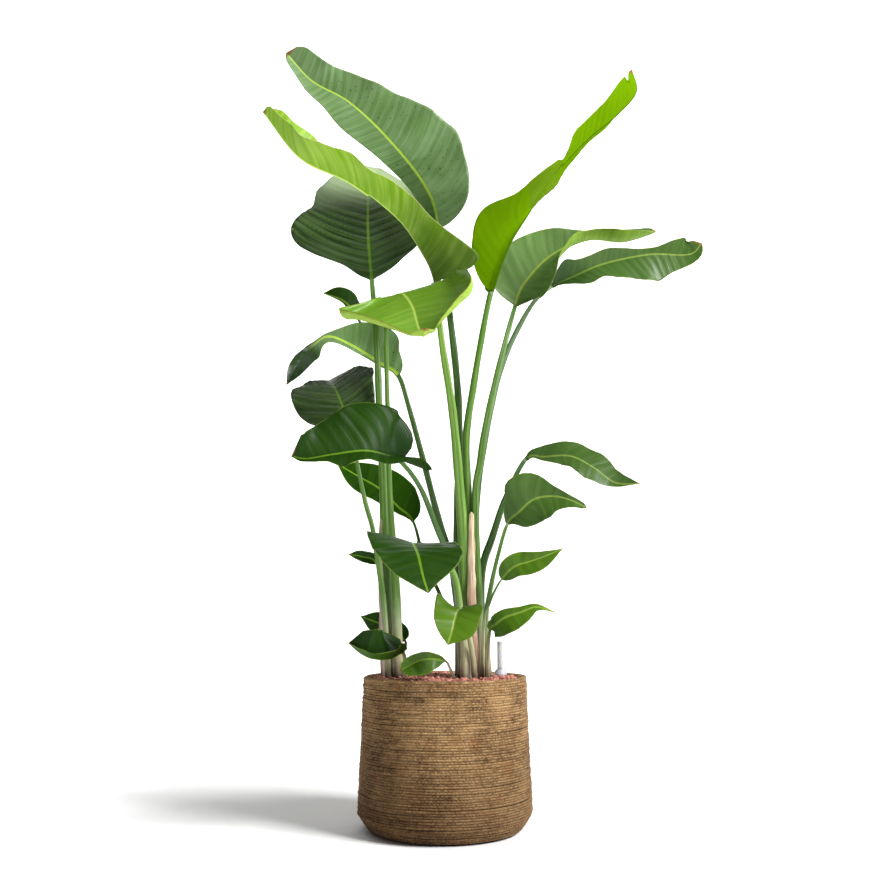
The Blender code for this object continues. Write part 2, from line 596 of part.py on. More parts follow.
def rope_outer():
    """Outer profile of the wound rope, from the rim down."""
    return [(POT_RIM_R - 0.0005, POT_HEIGHT - 0.003),
            (POT_RIM_R + 0.0005, POT_HEIGHT - 0.010),
            (POT_RIM_R + 0.0030, 0.200),
            (POT_WIDEST_R - 0.0020, 0.100),
            (POT_WIDEST_R, POT_WIDEST_Z),
            (POT_WIDEST_R - 0.0025, POT_WIDEST_Z - 0.013),
            (POT_FOOT_R + 0.0060, 0.008)]


def make_rope(group):
    outer = rope_outer()
    skin = ROPE
    inner = [(r - skin, z) for r, z in outer[::-1]]
    foot = [(POT_FOOT_R, ROPE_FOOT_Z), (POT_FOOT_R - skin, ROPE_FOOT_Z)]
    inside_top = POT_HEIGHT - skin
    profile = outer + foot + inner[:-1]
    profile += [(POT_RIM_R - skin, inside_top), (LIP_R + skin, inside_top),
                (LIP_R + skin, ROPE_LIP_Z), (LIP_R, ROPE_LIP_Z),
                (LIP_R, POT_HEIGHT - 0.003), (LIP_R + 0.003, POT_HEIGHT),
                (POT_RIM_R - 0.004, POT_HEIGHT)]
    return turned("rope_winding", profile, group, material("rope", (0.36, 0.24, 0.13), 0.9),
                  POT_STEPS, closed=True)


def planter_inside():
    """Inner profile of the planter from the edge of its floor up to its rim."""
    step = ROPE + GAP
    wall = [(r - step - WALL, z) for r, z in rope_outer()]
    return [(POT_FOOT_R - step - 0.006, FLOOR), *wall[:0:-1],
            (POT_RIM_R - step - WALL, POT_HEIGHT - step)]


def make_planter(group):
    """Wall and floor, the profile running from the middle of the floor over the rim and down."""
    step = ROPE + GAP
    outer = [(r - step, z) for r, z in rope_outer()]
    outer[0] = (POT_RIM_R - step, POT_HEIGHT - step)
    foot_r = POT_FOOT_R - step
    profile = [(0.0, FLOOR), *planter_inside(), *outer]
    profile += [(foot_r, ROPE_FOOT_Z), (foot_r - ROPE_FOOT_Z, 0.0), (0.0, 0.0)]
    return turned("planter_shell", profile, group, material("planter", (0.12, 0.11, 0.10), 0.6),
                  POT_STEPS)


def culture_wall_r(z):
    """Outer radius of the culture pot at a height."""
    share = (z - FLOOR) / (CULTURE_TOP_Z - FLOOR)
    return CULTURE_FOOT_R + (CULTURE_TOP_R - CULTURE_FOOT_R) * share


def make_culture_pot(group, cutters):
    wall = CULTURE_WALL
    low = FLOOR + GAP
    top = CULTURE_TOP_Z
    profile = [(0.0, low + wall), (culture_wall_r(low) - wall, low + wall),
               (culture_wall_r(top) - wall, top + wall), (CULTURE_RIM_R, top + wall),
               (CULTURE_RIM_R, top), (culture_wall_r(top), top),
               (culture_wall_r(low), low), (0.0, low)]
    pot = turned("culture_pot", profile, group,
                 material("culture_pot", (0.03, 0.03, 0.03), 0.5), POT_STEPS)
    slots = []
    for index in range(SLOTS):
        angle = 2 * math.pi * (index + 0.5) / SLOTS
        mesh = bpy.data.meshes.new("slot_cutter")
        shape = bmesh.new()
        bmesh.ops.create_cube(shape, size=1)
        bmesh.ops.scale(shape, vec=SLOT_SIZE, verts=shape.verts)
        shape.to_mesh(mesh)
        shape.free()
        slot = as_cutter(add_object("slot_cutter", mesh, cutters))
        radius = culture_wall_r(SLOT_Z) - wall / 2
        slot.location = (radius * math.cos(angle), radius * math.sin(angle), SLOT_Z)
        slot.rotation_euler = (0, 0, angle)
        slots.append(slot)
    cut(pot, slots)
    return pot


def make_granules(group, cutters):
    """Granules in and around the culture pot and over its rim, with pockets for what stands in them."""
    low, core_low = FLOOR + GAP, FLOOR + CULTURE_WALL + 2 * GAP
    inside = CULTURE_WALL + GAP
    rim_top, rim_low = CULTURE_TOP_Z + CULTURE_WALL + GAP, CULTURE_TOP_Z - GAP
    lip_z = ROPE_LIP_Z - GAP
    inner = [(r - GAP, z) for r, z in planter_inside()]
    wall = [(r, z) for r, z in inner if FLOOR < z < lip_z]
    top_r = float(np.interp(lip_z, [z for _, z in inner], [r for r, _ in inner]))
    profile = [(0.0, GRANULE_CROWN_Z), (0.08, GRANULE_CROWN_Z), (GRANULE_R, GRANULE_Z),
               (GRANULE_R, lip_z), (top_r, lip_z), *wall[::-1],
               (inner[0][0], low), (culture_wall_r(low) + GAP, low),
               (culture_wall_r(rim_low) + GAP, rim_low), (CULTURE_RIM_R + GAP, rim_low),
               (CULTURE_RIM_R + GAP, rim_top), (culture_wall_r(rim_top) - inside, rim_top),
               (culture_wall_r(core_low) - inside, core_low), (0.0, core_low)]
    bed = turned("clay_granules", profile, group, material("granules", (0.42, 0.16, 0.12), 0.9),
                 POT_STEPS)
    pockets = []
    for name, (x, y, rx, ry) in STUMPS.items():
        pockets.append(oval_prism("pocket_" + name, x, y, rx + GAP, ry + GAP,
                                  STUMP_FOOT - GAP, POT_HEIGHT + 0.01, cutters))
    pockets.append(oval_prism("pocket_gauge", GAUGE_X, GAUGE_Y, GAUGE_SHAFT_R + GAP,
                              GAUGE_SHAFT_R + GAP, GAUGE_FOOT - GAP, POT_HEIGHT + 0.01, cutters,
                              segments=GAUGE_STEPS))
    cut(bed, [as_cutter(pocket) for pocket in pockets])
    return bed


def make_stumps(group):
    for name, (x, y, rx, ry) in STUMPS.items():
        oval_prism(name, x, y, rx, ry, STUMP_FOOT, STUMP_TOP, group,
                   material(name, (0.20, 0.13, 0.07), 0.9))


# --------------------------------------------------------------- water gauge

def make_gauge(group):
    """Housing, clear tube with its cap, and the float that shows the water level."""
    at = (GAUGE_X, GAUGE_Y)
    shaft, bore = GAUGE_SHAFT_R, GAUGE_SHAFT_R - 0.002
    seat = GAUGE_COLLAR_Z + 0.004
    neck = GAUGE_TUBE_R + GAP
    housing = [(neck, GAUGE_NECK_Z), (neck + 0.002, GAUGE_NECK_Z),
               (neck + 0.0045, GAUGE_NECK_Z - 0.004), (GAUGE_COLLAR_R, GAUGE_COLLAR_Z + 0.003),
               (GAUGE_COLLAR_R, GAUGE_COLLAR_Z), (shaft, GAUGE_COLLAR_Z), (shaft, GAUGE_FOOT),
               (0.004, GAUGE_FOOT), (0.004, GAUGE_FOOT + 0.002), (bore, GAUGE_FOOT + 0.002),
               (bore, seat - 0.003), (GAUGE_TUBE_R - GAUGE_TUBE_WALL, seat - 0.003),
               (GAUGE_TUBE_R - GAUGE_TUBE_WALL, seat), (neck, seat)]
    turned("gauge_housing", housing, group, material("gauge_housing", (0.75, 0.78, 0.85), 0.4),
           GAUGE_STEPS, closed=True, at=at)
    inside = GAUGE_TUBE_R - GAUGE_TUBE_WALL
    low, high = seat + GAP, GAUGE_TOP - 0.004
    tube = [(inside, high), (GAUGE_TUBE_R, high), (GAUGE_TUBE_R, low), (inside, low)]
    turned("gauge_tube", tube, group, material("gauge_tube", (0.85, 0.88, 0.9), 0.15, alpha=0.4),
           GAUGE_STEPS, closed=True, at=at)
    plug = inside - GAP
    cap = [(0.0, GAUGE_TOP), (GAUGE_TUBE_R, GAUGE_TOP), (GAUGE_TUBE_R, high + GAP),
           (plug, high + GAP), (plug, high - 0.003), (0.0, high - 0.003)]
    turned("gauge_cap", cap, group, material("gauge_cap", (0.85, 0.88, 0.9), 0.2, alpha=0.6),
           GAUGE_STEPS, at=at)
    rod, head = 0.0012, 0.0035
    rest = GAUGE_FOOT + 0.002 + GAP
    gauge_float = [(0.0, 0.312), (head, 0.310), (head, 0.303), (rod, 0.301), (rod, 0.090),
                   (0.0055, 0.088), (0.0055, rest), (0.0, rest)]
    turned("gauge_float", gauge_float, group, material("gauge_float", (0.5, 0.02, 0.02), 0.4),
           12, at=at)


def main():
    clear_scene()
    model = make_collection("potted_bird_of_paradise")
    cutters = make_collection("cutters")
    make_planter(model)
    make_rope(model)
    make_culture_pot(model, cutters)
    make_granules(model, cutters)
    make_stumps(model)
    make_gauge(model)
    make_leaves(model)
    make_sheaths(model)
    bpy.context.view_layer.update()


main()
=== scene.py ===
"""Finish of a potted bird of paradise: leaves, stalks, rope planter, clay granules and water gauge."""

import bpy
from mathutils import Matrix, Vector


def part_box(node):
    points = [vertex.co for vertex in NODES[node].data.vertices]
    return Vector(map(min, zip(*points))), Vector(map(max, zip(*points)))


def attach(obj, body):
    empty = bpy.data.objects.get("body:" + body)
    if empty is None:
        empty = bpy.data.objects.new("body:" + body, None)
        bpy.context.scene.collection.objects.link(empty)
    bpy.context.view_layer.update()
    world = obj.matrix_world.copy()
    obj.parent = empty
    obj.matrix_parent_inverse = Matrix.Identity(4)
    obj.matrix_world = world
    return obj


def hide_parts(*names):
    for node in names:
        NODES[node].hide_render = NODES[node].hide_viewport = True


bl_info = {
    "name": "Potted bird of paradise",
    "version": (1, 0, 0),
    "blender": (4, 5, 0),
    "location": "View3D > Sidebar > Plant",
    "description": "Leaves, stalks, rope-wound planter, clay granules and water gauge",
    "category": "Add Mesh",
}

import math
from itertools import product

import bmesh
import bpy
import numpy as np
from bpy.props import FloatProperty, FloatVectorProperty, IntProperty, PointerProperty
from mathutils import Vector

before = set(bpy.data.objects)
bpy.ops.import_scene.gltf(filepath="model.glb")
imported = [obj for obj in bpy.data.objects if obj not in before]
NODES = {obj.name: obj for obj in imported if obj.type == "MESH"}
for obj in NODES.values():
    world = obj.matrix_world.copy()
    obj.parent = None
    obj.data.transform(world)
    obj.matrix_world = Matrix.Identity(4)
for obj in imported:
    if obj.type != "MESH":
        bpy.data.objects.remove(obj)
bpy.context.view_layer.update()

# the part's own measures, in metres
STALK_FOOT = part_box("stalk_top_broad")[0].z
BLADE_THICK = 0.0012
JOINT_GAP = 0.0003              # between a stalk's end and its blade
BED_R = 0.1505                  # radius of the bed of granules
GAUGE_CLEAR = 0.012             # radius that the granules leave free round the gauge
ROPE_MIDLINE = (                # radius and height of the rope's middle, from the foot over the rim
    (0.1515, 0.0048), (0.1559, 0.0096), (0.1702, 0.0310), (0.1725, 0.0430), (0.1705, 0.1000),
    (0.1670, 0.2000), (0.1645, 0.2860), (0.1632, 0.2918), (0.1605, 0.2933), (0.1572, 0.2933),
    (0.1550, 0.2915), (0.1545, 0.2880), (0.1545, 0.2768))

# blades
LOBE = 0.35                     # share of a blade over which its base lobes sweep back
VEIN_SLANT = 0.30               # how far the side veins and pleats lean toward the tip
VEIN_BEND = 1.6                 # how much more they lean for each metre from the midrib
WAVE_RISE = 2.5                 # power by which the margin waves grow toward the margin
SWELLS = 3                      # number of swellings laid over each other on a half blade
SWELL_LENGTHS = (0.06, 0.14)    # shortest and longest of them
GROOVE_DEPTH = 0.0010           # of the groove over the midrib
GROOVE_WIDTH = 0.0022
RIB_COLUMNS = (0.012, 0.03, 0.06)     # close columns of points by the midrib, in half widths
SHEATH_WRAP = 40                # degrees that each half of a sheath bends around its stalk

# stalks: the channel is measured in a stalk's radius
STALK_SIDES = 22
CHANNEL_DEPTH = 0.22
CHANNEL_WIDTH = 0.42
CLASP_SWELL = 0.22              # share by which a stalk is wider at its foot
CLASP_LENGTH = 0.07             # distance over which that fades
FLAT_LENGTH = 0.10              # distance over which a stalk's top flattens into the midrib

# rope: how far its turns stray outward, in short kinks, and along the planter's side
ROPE_BULGE = 0.00035
ROPE_KINK = 0.00030
ROPE_STRAY = 0.00050
ROPE_STEPS = 110                # rings of faces in a turn, and sides of each ring
ROPE_SIDES = 8

# granules
GRANULE_ROWS = 24               # rows to each side of the middle
ROW_PITCH = 0.866               # distance between rows, in spacings
GRANULE_LAYERS = ((-0.0022, 1.0), (0.0010, 0.40))     # height over the bed, and share filled

# marks on the sight tube
TICK_START = 0.309              # height that they are counted from
TICK_SPACING = 0.020
TICK_SPAN = (0.314, 0.354)      # heights between which they show
TICK_FADE = 0.002               # distance over which they end

# first seeds of the random draws
ROPE_SEED = 7
GRANULE_SEED = 11
BLADE_SEED = 100
STALK_SEED = 200
SHEATH_SEED = 300


# ------------------------------------------------------------------- leaf shapes

def leaf(stalk, spine, radii, left, right, left_angles, right_angles, curl=(0, 0), base=0.18,
         tip=0.0, sweep=(0, 0), across=None, back=False, waves=((0, 3), (0, 3)), lip=(0, 0),
         pleat=0.0006, look="deep", shade=1.0, dim=0.5, end=None, skin="green", fine=1.0):
    """One leaf. Every list of numbers is read at even steps along the stalk or the blade.

    stalk         points from the foot to just below the blade
    spine         points from the blade's base to its tip
    radii         radius of the stalk from its foot up
    left, right   half widths of the blade from base to tip, as seen from the front
    left_angles   degrees by which the left half is turned: at 0 it lies across the front view,
                  at 90 it points forward
    right_angles  the same for the right half
    curl          degrees by which each half bends further on its way to the margin
    base          share of the blade's length over which its base rounds out, for both
                  halves or for each
    tip           share of the blade's length over which a blunt tip rounds off
    sweep         how far the base lobes reach back past the stalk's end, in half widths
    across        direction of the left half at angle 0, for a leaf that points forward or back
    back          True where the front of the blade is its underside
    waves         height and number of the waves of each margin
    lip           degrees by which each margin rolls over in its last fifth
    pleat         height of the pleats
    look, skin    names of the blade's and the stalk's colours
    shade         multiplies the blade's colours
    dim           how much painted shade darkens the blade near its base, 0 to 1
    end           colour painted over the outer part toward the tip: a painted highlight on some blades, painted shade on others
    fine          makes the blade's faces fewer where it is below 1
    """
    return dict(stalk=stalk, spine=spine, radii=radii, widths=(left, right),
                angles=(left_angles, right_angles), curl=curl, base=base, tip=tip, sweep=sweep,
                across=across, back=back, waves=waves, lip=lip, pleat=pleat, look=look,
                shade=shade, dim=dim, end=end, skin=skin, fine=fine)


LEAVES = {
    # the tall leaves of the centre clump
    "top_broad": leaf(
        [(0.035, 0.025), (0.035, 0.025, 0.45), (0.030, 0.025, 0.58), (0.030, 0.025, 0.70),
         (0.030, 0.025, 0.85), (0.025, 0.025, 0.935), (0.015, 0.030, 1.035)],
        [(-0.015, 0.040, 1.28), (-0.045, 0.050, 1.385), (-0.130, 0.070, 1.51),
         (-0.225, 0.080, 1.61), (-0.315, 0.080, 1.665), (-0.375, 0.060, 1.725)],
        (0.013, 0.013, 0.0085, 0.0075, 0.0045),
        (0.030, 0.032, 0.035, 0.040, 0.047, 0.056, 0.064, 0.058, 0.042, 0.022, 0.014),
        (0.070, 0.092, 0.112, 0.132, 0.124, 0.104, 0.082, 0.064, 0.056, 0.052, 0.040),
        (-45, -15, 10, 20), (0, 5, 10, 25), tip=0.05, waves=((0.003, 3), (0.006, 5)),
        look="sheen", shade=1.1, skin="dark"),
    "top_left": leaf(
        [(0.050, -0.005), (0.045, -0.010, 0.40), (0.040, -0.010, 0.52), (0.035, -0.015, 0.62),
         (0.025, -0.020, 0.75), (0.015, -0.025, 0.85), (-0.005, -0.035, 0.98)],
        [(-0.025, -0.050, 1.12), (-0.055, -0.070, 1.185), (-0.105, -0.090, 1.25),
         (-0.200, -0.110, 1.32), (-0.305, -0.120, 1.370), (-0.390, -0.110, 1.48)],
        (0.0115, 0.012, 0.010, 0.008, 0.0055),
        (0.130, 0.088, 0.072, 0.070, 0.078, 0.085, 0.088, 0.085, 0.065, 0.045, 0.030),
        (0.090, 0.095, 0.100, 0.100, 0.100, 0.100, 0.098, 0.094, 0.082, 0.048, 0.034),
        (170, 130, 105, 105, 120), (-70, -75, -70, -45, 0), base=0.05, tip=0.05,
        waves=((0.004, 4), (0.003, 4)), look="fresh", dim=0.8, skin="light"),
    "top_right": leaf(
        [(0.065, 0.015), (0.055, 0.010, 0.45), (0.050, 0.010, 0.635), (0.045, 0.005, 0.77),
         (0.050, 0.000, 0.835), (0.060, -0.005, 0.895), (0.075, -0.010, 0.985)],
        [(0.100, -0.020, 1.11), (0.135, -0.020, 1.21), (0.175, -0.020, 1.28),
         (0.250, -0.010, 1.395), (0.320, 0.000, 1.475), (0.390, 0.000, 1.535),
         (0.435, 0.000, 1.59), (0.425, -0.010, 1.64)],
        (0.009, 0.009, 0.0085, 0.0075, 0.006),
        (0.060, 0.080, 0.100, 0.085, 0.135, 0.060, 0.070, 0.060, 0.070, 0.065, 0.030),
        (0.080, 0.095, 0.085, 0.085, 0.060, 0.020),
        (30, 40, 95, 80, 65, 50), (-110, -105, -90, -100, -110), base=0.12, tip=0.04, back=True,
        waves=((0.003, 4), (0.002, 4)), look="vivid", skin="green"),
    "right_upper": leaf(
        [(0.075, -0.010), (0.070, -0.010, 0.45), (0.065, -0.005, 0.57), (0.065, 0.000, 0.68),
         (0.075, 0.005, 0.74), (0.085, 0.010, 0.805), (0.115, 0.035, 0.94)],
        [(0.160, 0.075, 1.11), (0.185, 0.070, 1.165), (0.245, 0.060, 1.225),
         (0.325, 0.045, 1.255), (0.400, 0.020, 1.24), (0.470, 0.010, 1.26)],
        (0.008, 0.008, 0.0075, 0.007, 0.005),
        (0.075, 0.088, 0.062, 0.022, 0.028, 0.010),
        (0.055, 0.062, 0.070, 0.074, 0.072, 0.055, 0.036, 0.038, 0.048, 0.042, 0.018),
        (10, 5, 5, 20), (20, 20, 40, 60, 60, 40), curl=(0, (20, 30, 60, 90, 90, 70)), tip=0.05,
        waves=((0.003, 4), (0.003, 3)), look="pale", skin="green"),
    "right_long": leaf(
        [(0.070, 0.035), (0.065, 0.035, 0.45), (0.065, 0.035, 0.575), (0.070, 0.035, 0.68),
         (0.085, 0.045, 0.78), (0.110, 0.070, 0.905), (0.135, 0.090, 0.99),
         (0.170, 0.115, 1.07), (0.210, 0.135, 1.14)],
        [(0.255, 0.160, 1.185), (0.310, 0.175, 1.215), (0.385, 0.185, 1.25),
         (0.495, 0.190, 1.275), (0.590, 0.190, 1.275), (0.620, 0.180, 1.30)],
        (0.0075, 0.0075, 0.007, 0.0065, 0.0045),
        (0.030, 0.052, 0.037, 0.032, 0.035, 0.026, 0.017, 0.018, 0.036, 0.042, 0.022),
        (0.015, 0.022, 0.045, 0.043, 0.055, 0.062, 0.072, 0.072, 0.046, 0.025, 0.008),
        (40, 35, 20, 0), (35, 30, 10, 0), tip=0.05, waves=((0.001, 3), (0.002, 3.5)),
        look="mid", shade=0.9, dim=0.85, skin="dark"),
    "left_arching": leaf(
        [(0.040, 0.050), (0.035, 0.050, 0.45), (0.015, 0.045, 0.53), (-0.015, 0.035, 0.625),
         (-0.045, 0.035, 0.74), (-0.080, 0.050, 0.87)],
        [(-0.105, 0.065, 0.945), (-0.145, 0.075, 0.975), (-0.215, 0.080, 1.02),
         (-0.265, 0.070, 1.035), (-0.300, 0.045, 1.00), (-0.320, 0.010, 0.955),
         (-0.340, -0.010, 0.905)],
        (0.0065, 0.0075, 0.0065, 0.005),
        (0.006, 0.008, 0.008, 0.010, 0.012, 0.014, 0.018, 0.030, 0.030, 0.020, 0),
        (0.030, 0.055, 0.080, 0.078, 0.050, 0.012, 0.006, 0.010, 0.016, 0.014, 0),
        (0, -20, -40, 10, 10), (-5, -10, 0, 10, 10), sweep=(0, 0.3),
        # the dark end colour paints shade over the drooping tip
        waves=((0.002, 3), (0.003, 4)), look="sheen", shade=1.8, end=(0.006, 0.028, 0.001),
        skin="dark"),
    "left_broad": leaf(
        [(0.035, -0.025), (0.030, -0.025, 0.39), (0.020, -0.030, 0.47), (0.010, -0.030, 0.53),
         (-0.015, -0.040, 0.59), (-0.050, -0.060, 0.675)],
        [(-0.090, -0.100, 0.725), (-0.120, -0.120, 0.735), (-0.160, -0.140, 0.74),
         (-0.220, -0.155, 0.73), (-0.270, -0.165, 0.72), (-0.300, -0.165, 0.725)],
        (0.006, 0.0065, 0.006, 0.0045),
        (0.070, 0.048, 0.052, 0.060, 0.028, 0), (0.080, 0.100, 0.103, 0.080, 0.058, 0.046),
        (110, 65, 58, 62, 65), (-5, -10, -5, 10), base=(0.05, 0.18), tip=0.05, sweep=(1.6, 0.5),
        waves=((0.003, 3), (0.002, 3)), look="deep", dim=0.92, skin="dark"),
    "left_rear": leaf(
        [(0.030, -0.005), (0.030, 0.000, 0.345), (0.010, 0.010, 0.41), (-0.015, 0.030, 0.47),
         (-0.045, 0.050, 0.535)],
        [(-0.070, 0.085, 0.62), (-0.105, 0.100, 0.655), (-0.145, 0.115, 0.695),
         (-0.195, 0.125, 0.725), (-0.245, 0.130, 0.755)],
        (0.0045, 0.004, 0.003),
        (0.008, 0.014, 0.026, 0.032, 0.026, 0), (0.034, 0.055, 0.056, 0.045, 0.030, 0),
        (0, 0, 0), (0, 0, 0), waves=((0.002, 3), (0.002, 3)), look="deep", shade=1.9, dim=0.8,
        skin="dark"),
    "front_centre": leaf(
        [(0.040, -0.045), (0.040, -0.045, 0.36), (0.030, -0.045, 0.435), (0.020, -0.050, 0.495),
         (-0.005, -0.060, 0.535), (-0.030, -0.075, 0.555)],
        [(-0.060, -0.105, 0.56), (-0.060, -0.145, 0.555), (-0.050, -0.200, 0.53),
         (-0.040, -0.240, 0.49), (-0.030, -0.260, 0.46)],
        (0.009, 0.0085, 0.0075, 0.005),
        (0.075, 0.080, 0.085, 0.080, 0.050, 0), (0.095, 0.095, 0.088, 0.076, 0.045, 0),
        (0, 5, 0, -10), (15, 10, 10, 10), sweep=(0.1, 0.1), across=(1, 0, -0.05),
        waves=((0.002, 3), (0.003, 3)), look="deep", dim=0.2, skin="light"),
    "front_low": leaf(
        [(0.060, -0.045), (0.055, -0.055, 0.34), (0.045, -0.080, 0.39)],
        [(0.030, -0.125, 0.43), (0.020, -0.150, 0.415), (0.015, -0.165, 0.395),
         (0.005, -0.175, 0.365)],
        (0.005, 0.005, 0.004),
        (0.045, 0.050, 0.050, 0.045, 0.030, 0), (0.060, 0.050, 0.042, 0.038, 0.025, 0),
        (20, 10, 0), (20, 15, 10), base=0.2, sweep=(0.8, 1.4), across=(1, 0, 0),
        waves=((0.002, 2), (0.002, 2)), look="light", shade=0.6, skin="light", fine=0.7),

    # the short leaves that lean right
    "right_arching": leaf(
        [(0.085, 0.015), (0.075, 0.015, 0.44), (0.080, 0.015, 0.52), (0.100, 0.020, 0.58),
         (0.130, 0.025, 0.665)],
        [(0.175, 0.030, 0.75), (0.215, 0.030, 0.755), (0.270, 0.020, 0.755),
         (0.315, 0.010, 0.730), (0.360, 0.000, 0.695), (0.410, -0.015, 0.690)],
        (0.008, 0.008, 0.0075, 0.0045),
        (0.010, 0.032, 0.042, 0.046, 0.052, 0.054, 0.052, 0.042, 0.032, 0.018, 0),
        (0.006, 0.010, 0.018, 0.026, 0.033, 0.038, 0.038, 0.028, 0.012, 0.004, 0),
        (-40, -40, -20), (35, 35, 20), waves=((0.0015, 4), (0.0015, 4)), look="mid", shade=0.8,
        skin="dark", fine=0.8),
    "right_middle": leaf(
        [(0.090, -0.005), (0.085, -0.010, 0.41), (0.095, -0.010, 0.475), (0.110, -0.015, 0.54)],
        [(0.130, -0.020, 0.605), (0.155, -0.030, 0.63), (0.185, -0.040, 0.655),
         (0.225, -0.050, 0.66), (0.260, -0.060, 0.65), (0.290, -0.060, 0.635)],
        (0.0055, 0.005, 0.0035),
        (0.015, 0.030, 0.045, 0.062, 0.060, 0.045, 0.024, 0.014, 0.009, 0.007, 0.005),
        (0.012, 0.025, 0.040, 0.048, 0.049, 0.048, 0.044, 0.030, 0.018, 0.010, 0.005),
        (0, 5, 20), (15, 10, 10), sweep=(0.1, 0.2), waves=((0.002, 3), (0.0015, 3)),
        look="mid", skin="green", fine=0.8),
    "right_lower": leaf(
        [(0.075, -0.030), (0.080, -0.030, 0.41), (0.090, -0.035, 0.44), (0.100, -0.045, 0.465)],
        [(0.115, -0.050, 0.49), (0.140, -0.060, 0.515), (0.170, -0.070, 0.525),
         (0.200, -0.080, 0.535), (0.235, -0.090, 0.55)],
        (0.0035, 0.003, 0.002),
        (0.018, 0.024, 0.024, 0.016, 0.008, 0), (0.015, 0.020, 0.025, 0.025, 0.015, 0),
        (0, 0, 0), (10, 10, 10), sweep=(0.2, 0.2), waves=((0.0012, 4), (0.0012, 4)),
        look="young", skin="green", fine=0.6),
    "right_lowest": leaf(
        [(0.085, -0.035), (0.085, -0.045, 0.34)],
        [(0.090, -0.070, 0.39), (0.100, -0.080, 0.400), (0.120, -0.090, 0.415),
         (0.150, -0.100, 0.425), (0.180, -0.105, 0.435), (0.215, -0.110, 0.425)],
        (0.0045, 0.004, 0.003),
        (0.015, 0.018, 0.014, 0.010, 0.005, 0), (0.020, 0.030, 0.033, 0.021, 0.006, 0),
        (-10, -10, 0), (15, 20, 20), sweep=(0.2, 0.6), waves=((0.001, 3), (0.001, 3)),
        look="young", skin="green", fine=0.6),

    # the left clump
    "upper_fan": leaf(
        [(-0.115, 0.010), (-0.120, 0.015, 0.45), (-0.125, 0.015, 0.53), (-0.130, 0.020, 0.645),
         (-0.135, 0.030, 0.745), (-0.145, 0.045, 0.88), (-0.155, 0.070, 1.04)],
        [(-0.170, 0.110, 1.185), (-0.180, 0.125, 1.285), (-0.185, 0.155, 1.385),
         (-0.185, 0.215, 1.475), (-0.165, 0.290, 1.545)],
        (0.012, 0.010, 0.009, 0.007, 0.0055),
        (0.030, 0.060, 0.135, 0.180, 0.175, 0.138, 0.125, 0.105, 0.075, 0.050, 0),
        (0.030, 0.070, 0.115, 0.135, 0.145, 0.145, 0.135, 0.115, 0.090, 0.050, 0),
        (-5, 0, 10), (-5, 0, 10), base=0.1, waves=((0.005, 4), (0.005, 4)), pleat=0.0022,
        # the pale end colour paints a sheen over the upper part of the blade
        look="pleated", end=(0.320, 0.420, 0.230), skin="green"),
    "centre_cupped": leaf(
        [(-0.095, -0.005), (-0.100, -0.010, 0.43), (-0.105, -0.010, 0.52),
         (-0.115, -0.015, 0.655), (-0.120, -0.020, 0.80)],
        [(-0.125, -0.050, 1.02), (-0.110, -0.085, 1.065), (-0.090, -0.130, 1.07),
         (-0.065, -0.200, 1.02), (-0.050, -0.250, 0.96), (-0.040, -0.275, 0.935),
         (-0.035, -0.295, 0.945)],
        (0.010, 0.0095, 0.006, 0.005, 0.005),
        (0.030, 0.060, 0.090, 0.112, 0.120, 0.128, 0.140, 0.144, 0.130, 0.058, 0.015),
        (0.040, 0.045, 0.040, 0.045, 0.085, 0.148, 0.155, 0.130, 0.076, 0.036, 0.015),
        (-20, 0, 12, 20), (-15, -10, 0, 20), curl=(10, 10), tip=0.1, across=(1, 0, 0.2),
        waves=((0.002, 3), (0.002, 3)), lip=((0, 0, 40, 80, 90, 90), (0, 0, 60, 90, 90, 90)),
        look="light", skin="green"),
    "left_small": leaf(
        [(-0.110, 0.040), (-0.120, 0.060, 0.53), (-0.140, 0.085, 0.75), (-0.145, 0.100, 0.88),
         (-0.155, 0.115, 1.00)],
        [(-0.205, 0.130, 1.10), (-0.220, 0.115, 1.12), (-0.240, 0.090, 1.13),
         (-0.275, 0.065, 1.135)],
        (0.005, 0.0045, 0.004, 0.003),
        (0.010, 0.010, 0.007, 0.004, 0), (0.012, 0.026, 0.030, 0.022, 0),
        (10, 10, 10), (0, 0, 0), waves=((0.001, 2), (0.001, 2)), look="deep", skin="dark",
        fine=0.6),
    "left_hanging": leaf(
        [(-0.115, -0.025), (-0.120, -0.025, 0.37), (-0.130, -0.020, 0.47),
         (-0.150, -0.010, 0.59), (-0.170, 0.000, 0.66)],
        [(-0.205, 0.030, 0.81), (-0.225, 0.055, 0.87), (-0.245, 0.090, 0.915),
         (-0.265, 0.150, 0.95), (-0.280, 0.220, 0.97)],
        (0.006, 0.006, 0.005, 0.004),
        (0.030, 0.065, 0.090, 0.100, 0.104, 0.100, 0.085, 0.062, 0.038, 0.018, 0),
        (0.060, 0.070, 0.085, 0.098, 0.060, 0),
        (5, 10, 5), (-15, 18, 32), curl=(-15, 0), across=(-1, 0, 0),
        waves=((0.003, 3), (0.003, 3)), pleat=0.0018, look="pleated", skin="green"),
    "left_pointed": leaf(
        [(-0.125, 0.030), (-0.130, 0.035, 0.45)],
        [(-0.145, 0.040, 0.525), (-0.175, 0.035, 0.54), (-0.205, 0.030, 0.545)],
        (0.0035, 0.003, 0.002),
        (0.010, 0.012, 0.011, 0.008, 0), (0.010, 0.013, 0.013, 0.010, 0),
        (10, 10, 0), (10, 10, 0), look="deep", skin="dark", fine=0.5),
    "low_cupped": leaf(
        [(-0.085, -0.030), (-0.080, -0.035, 0.32)],
        [(-0.085, -0.050, 0.345), (-0.110, -0.070, 0.335), (-0.140, -0.085, 0.335),
         (-0.165, -0.090, 0.345), (-0.190, -0.090, 0.365)],
        (0.0045, 0.004, 0.003),
        (0.030, 0.040, 0.045, 0.040, 0.025, 0.010), (0.050, 0.056, 0.058, 0.058, 0.052, 0.035),
        (115, 110, 105), (-10, -10, 0), tip=0.08, sweep=(0.5, 0.3), waves=((0.001, 3), (0.001, 3)),
        look="deep", skin="green", fine=0.6),
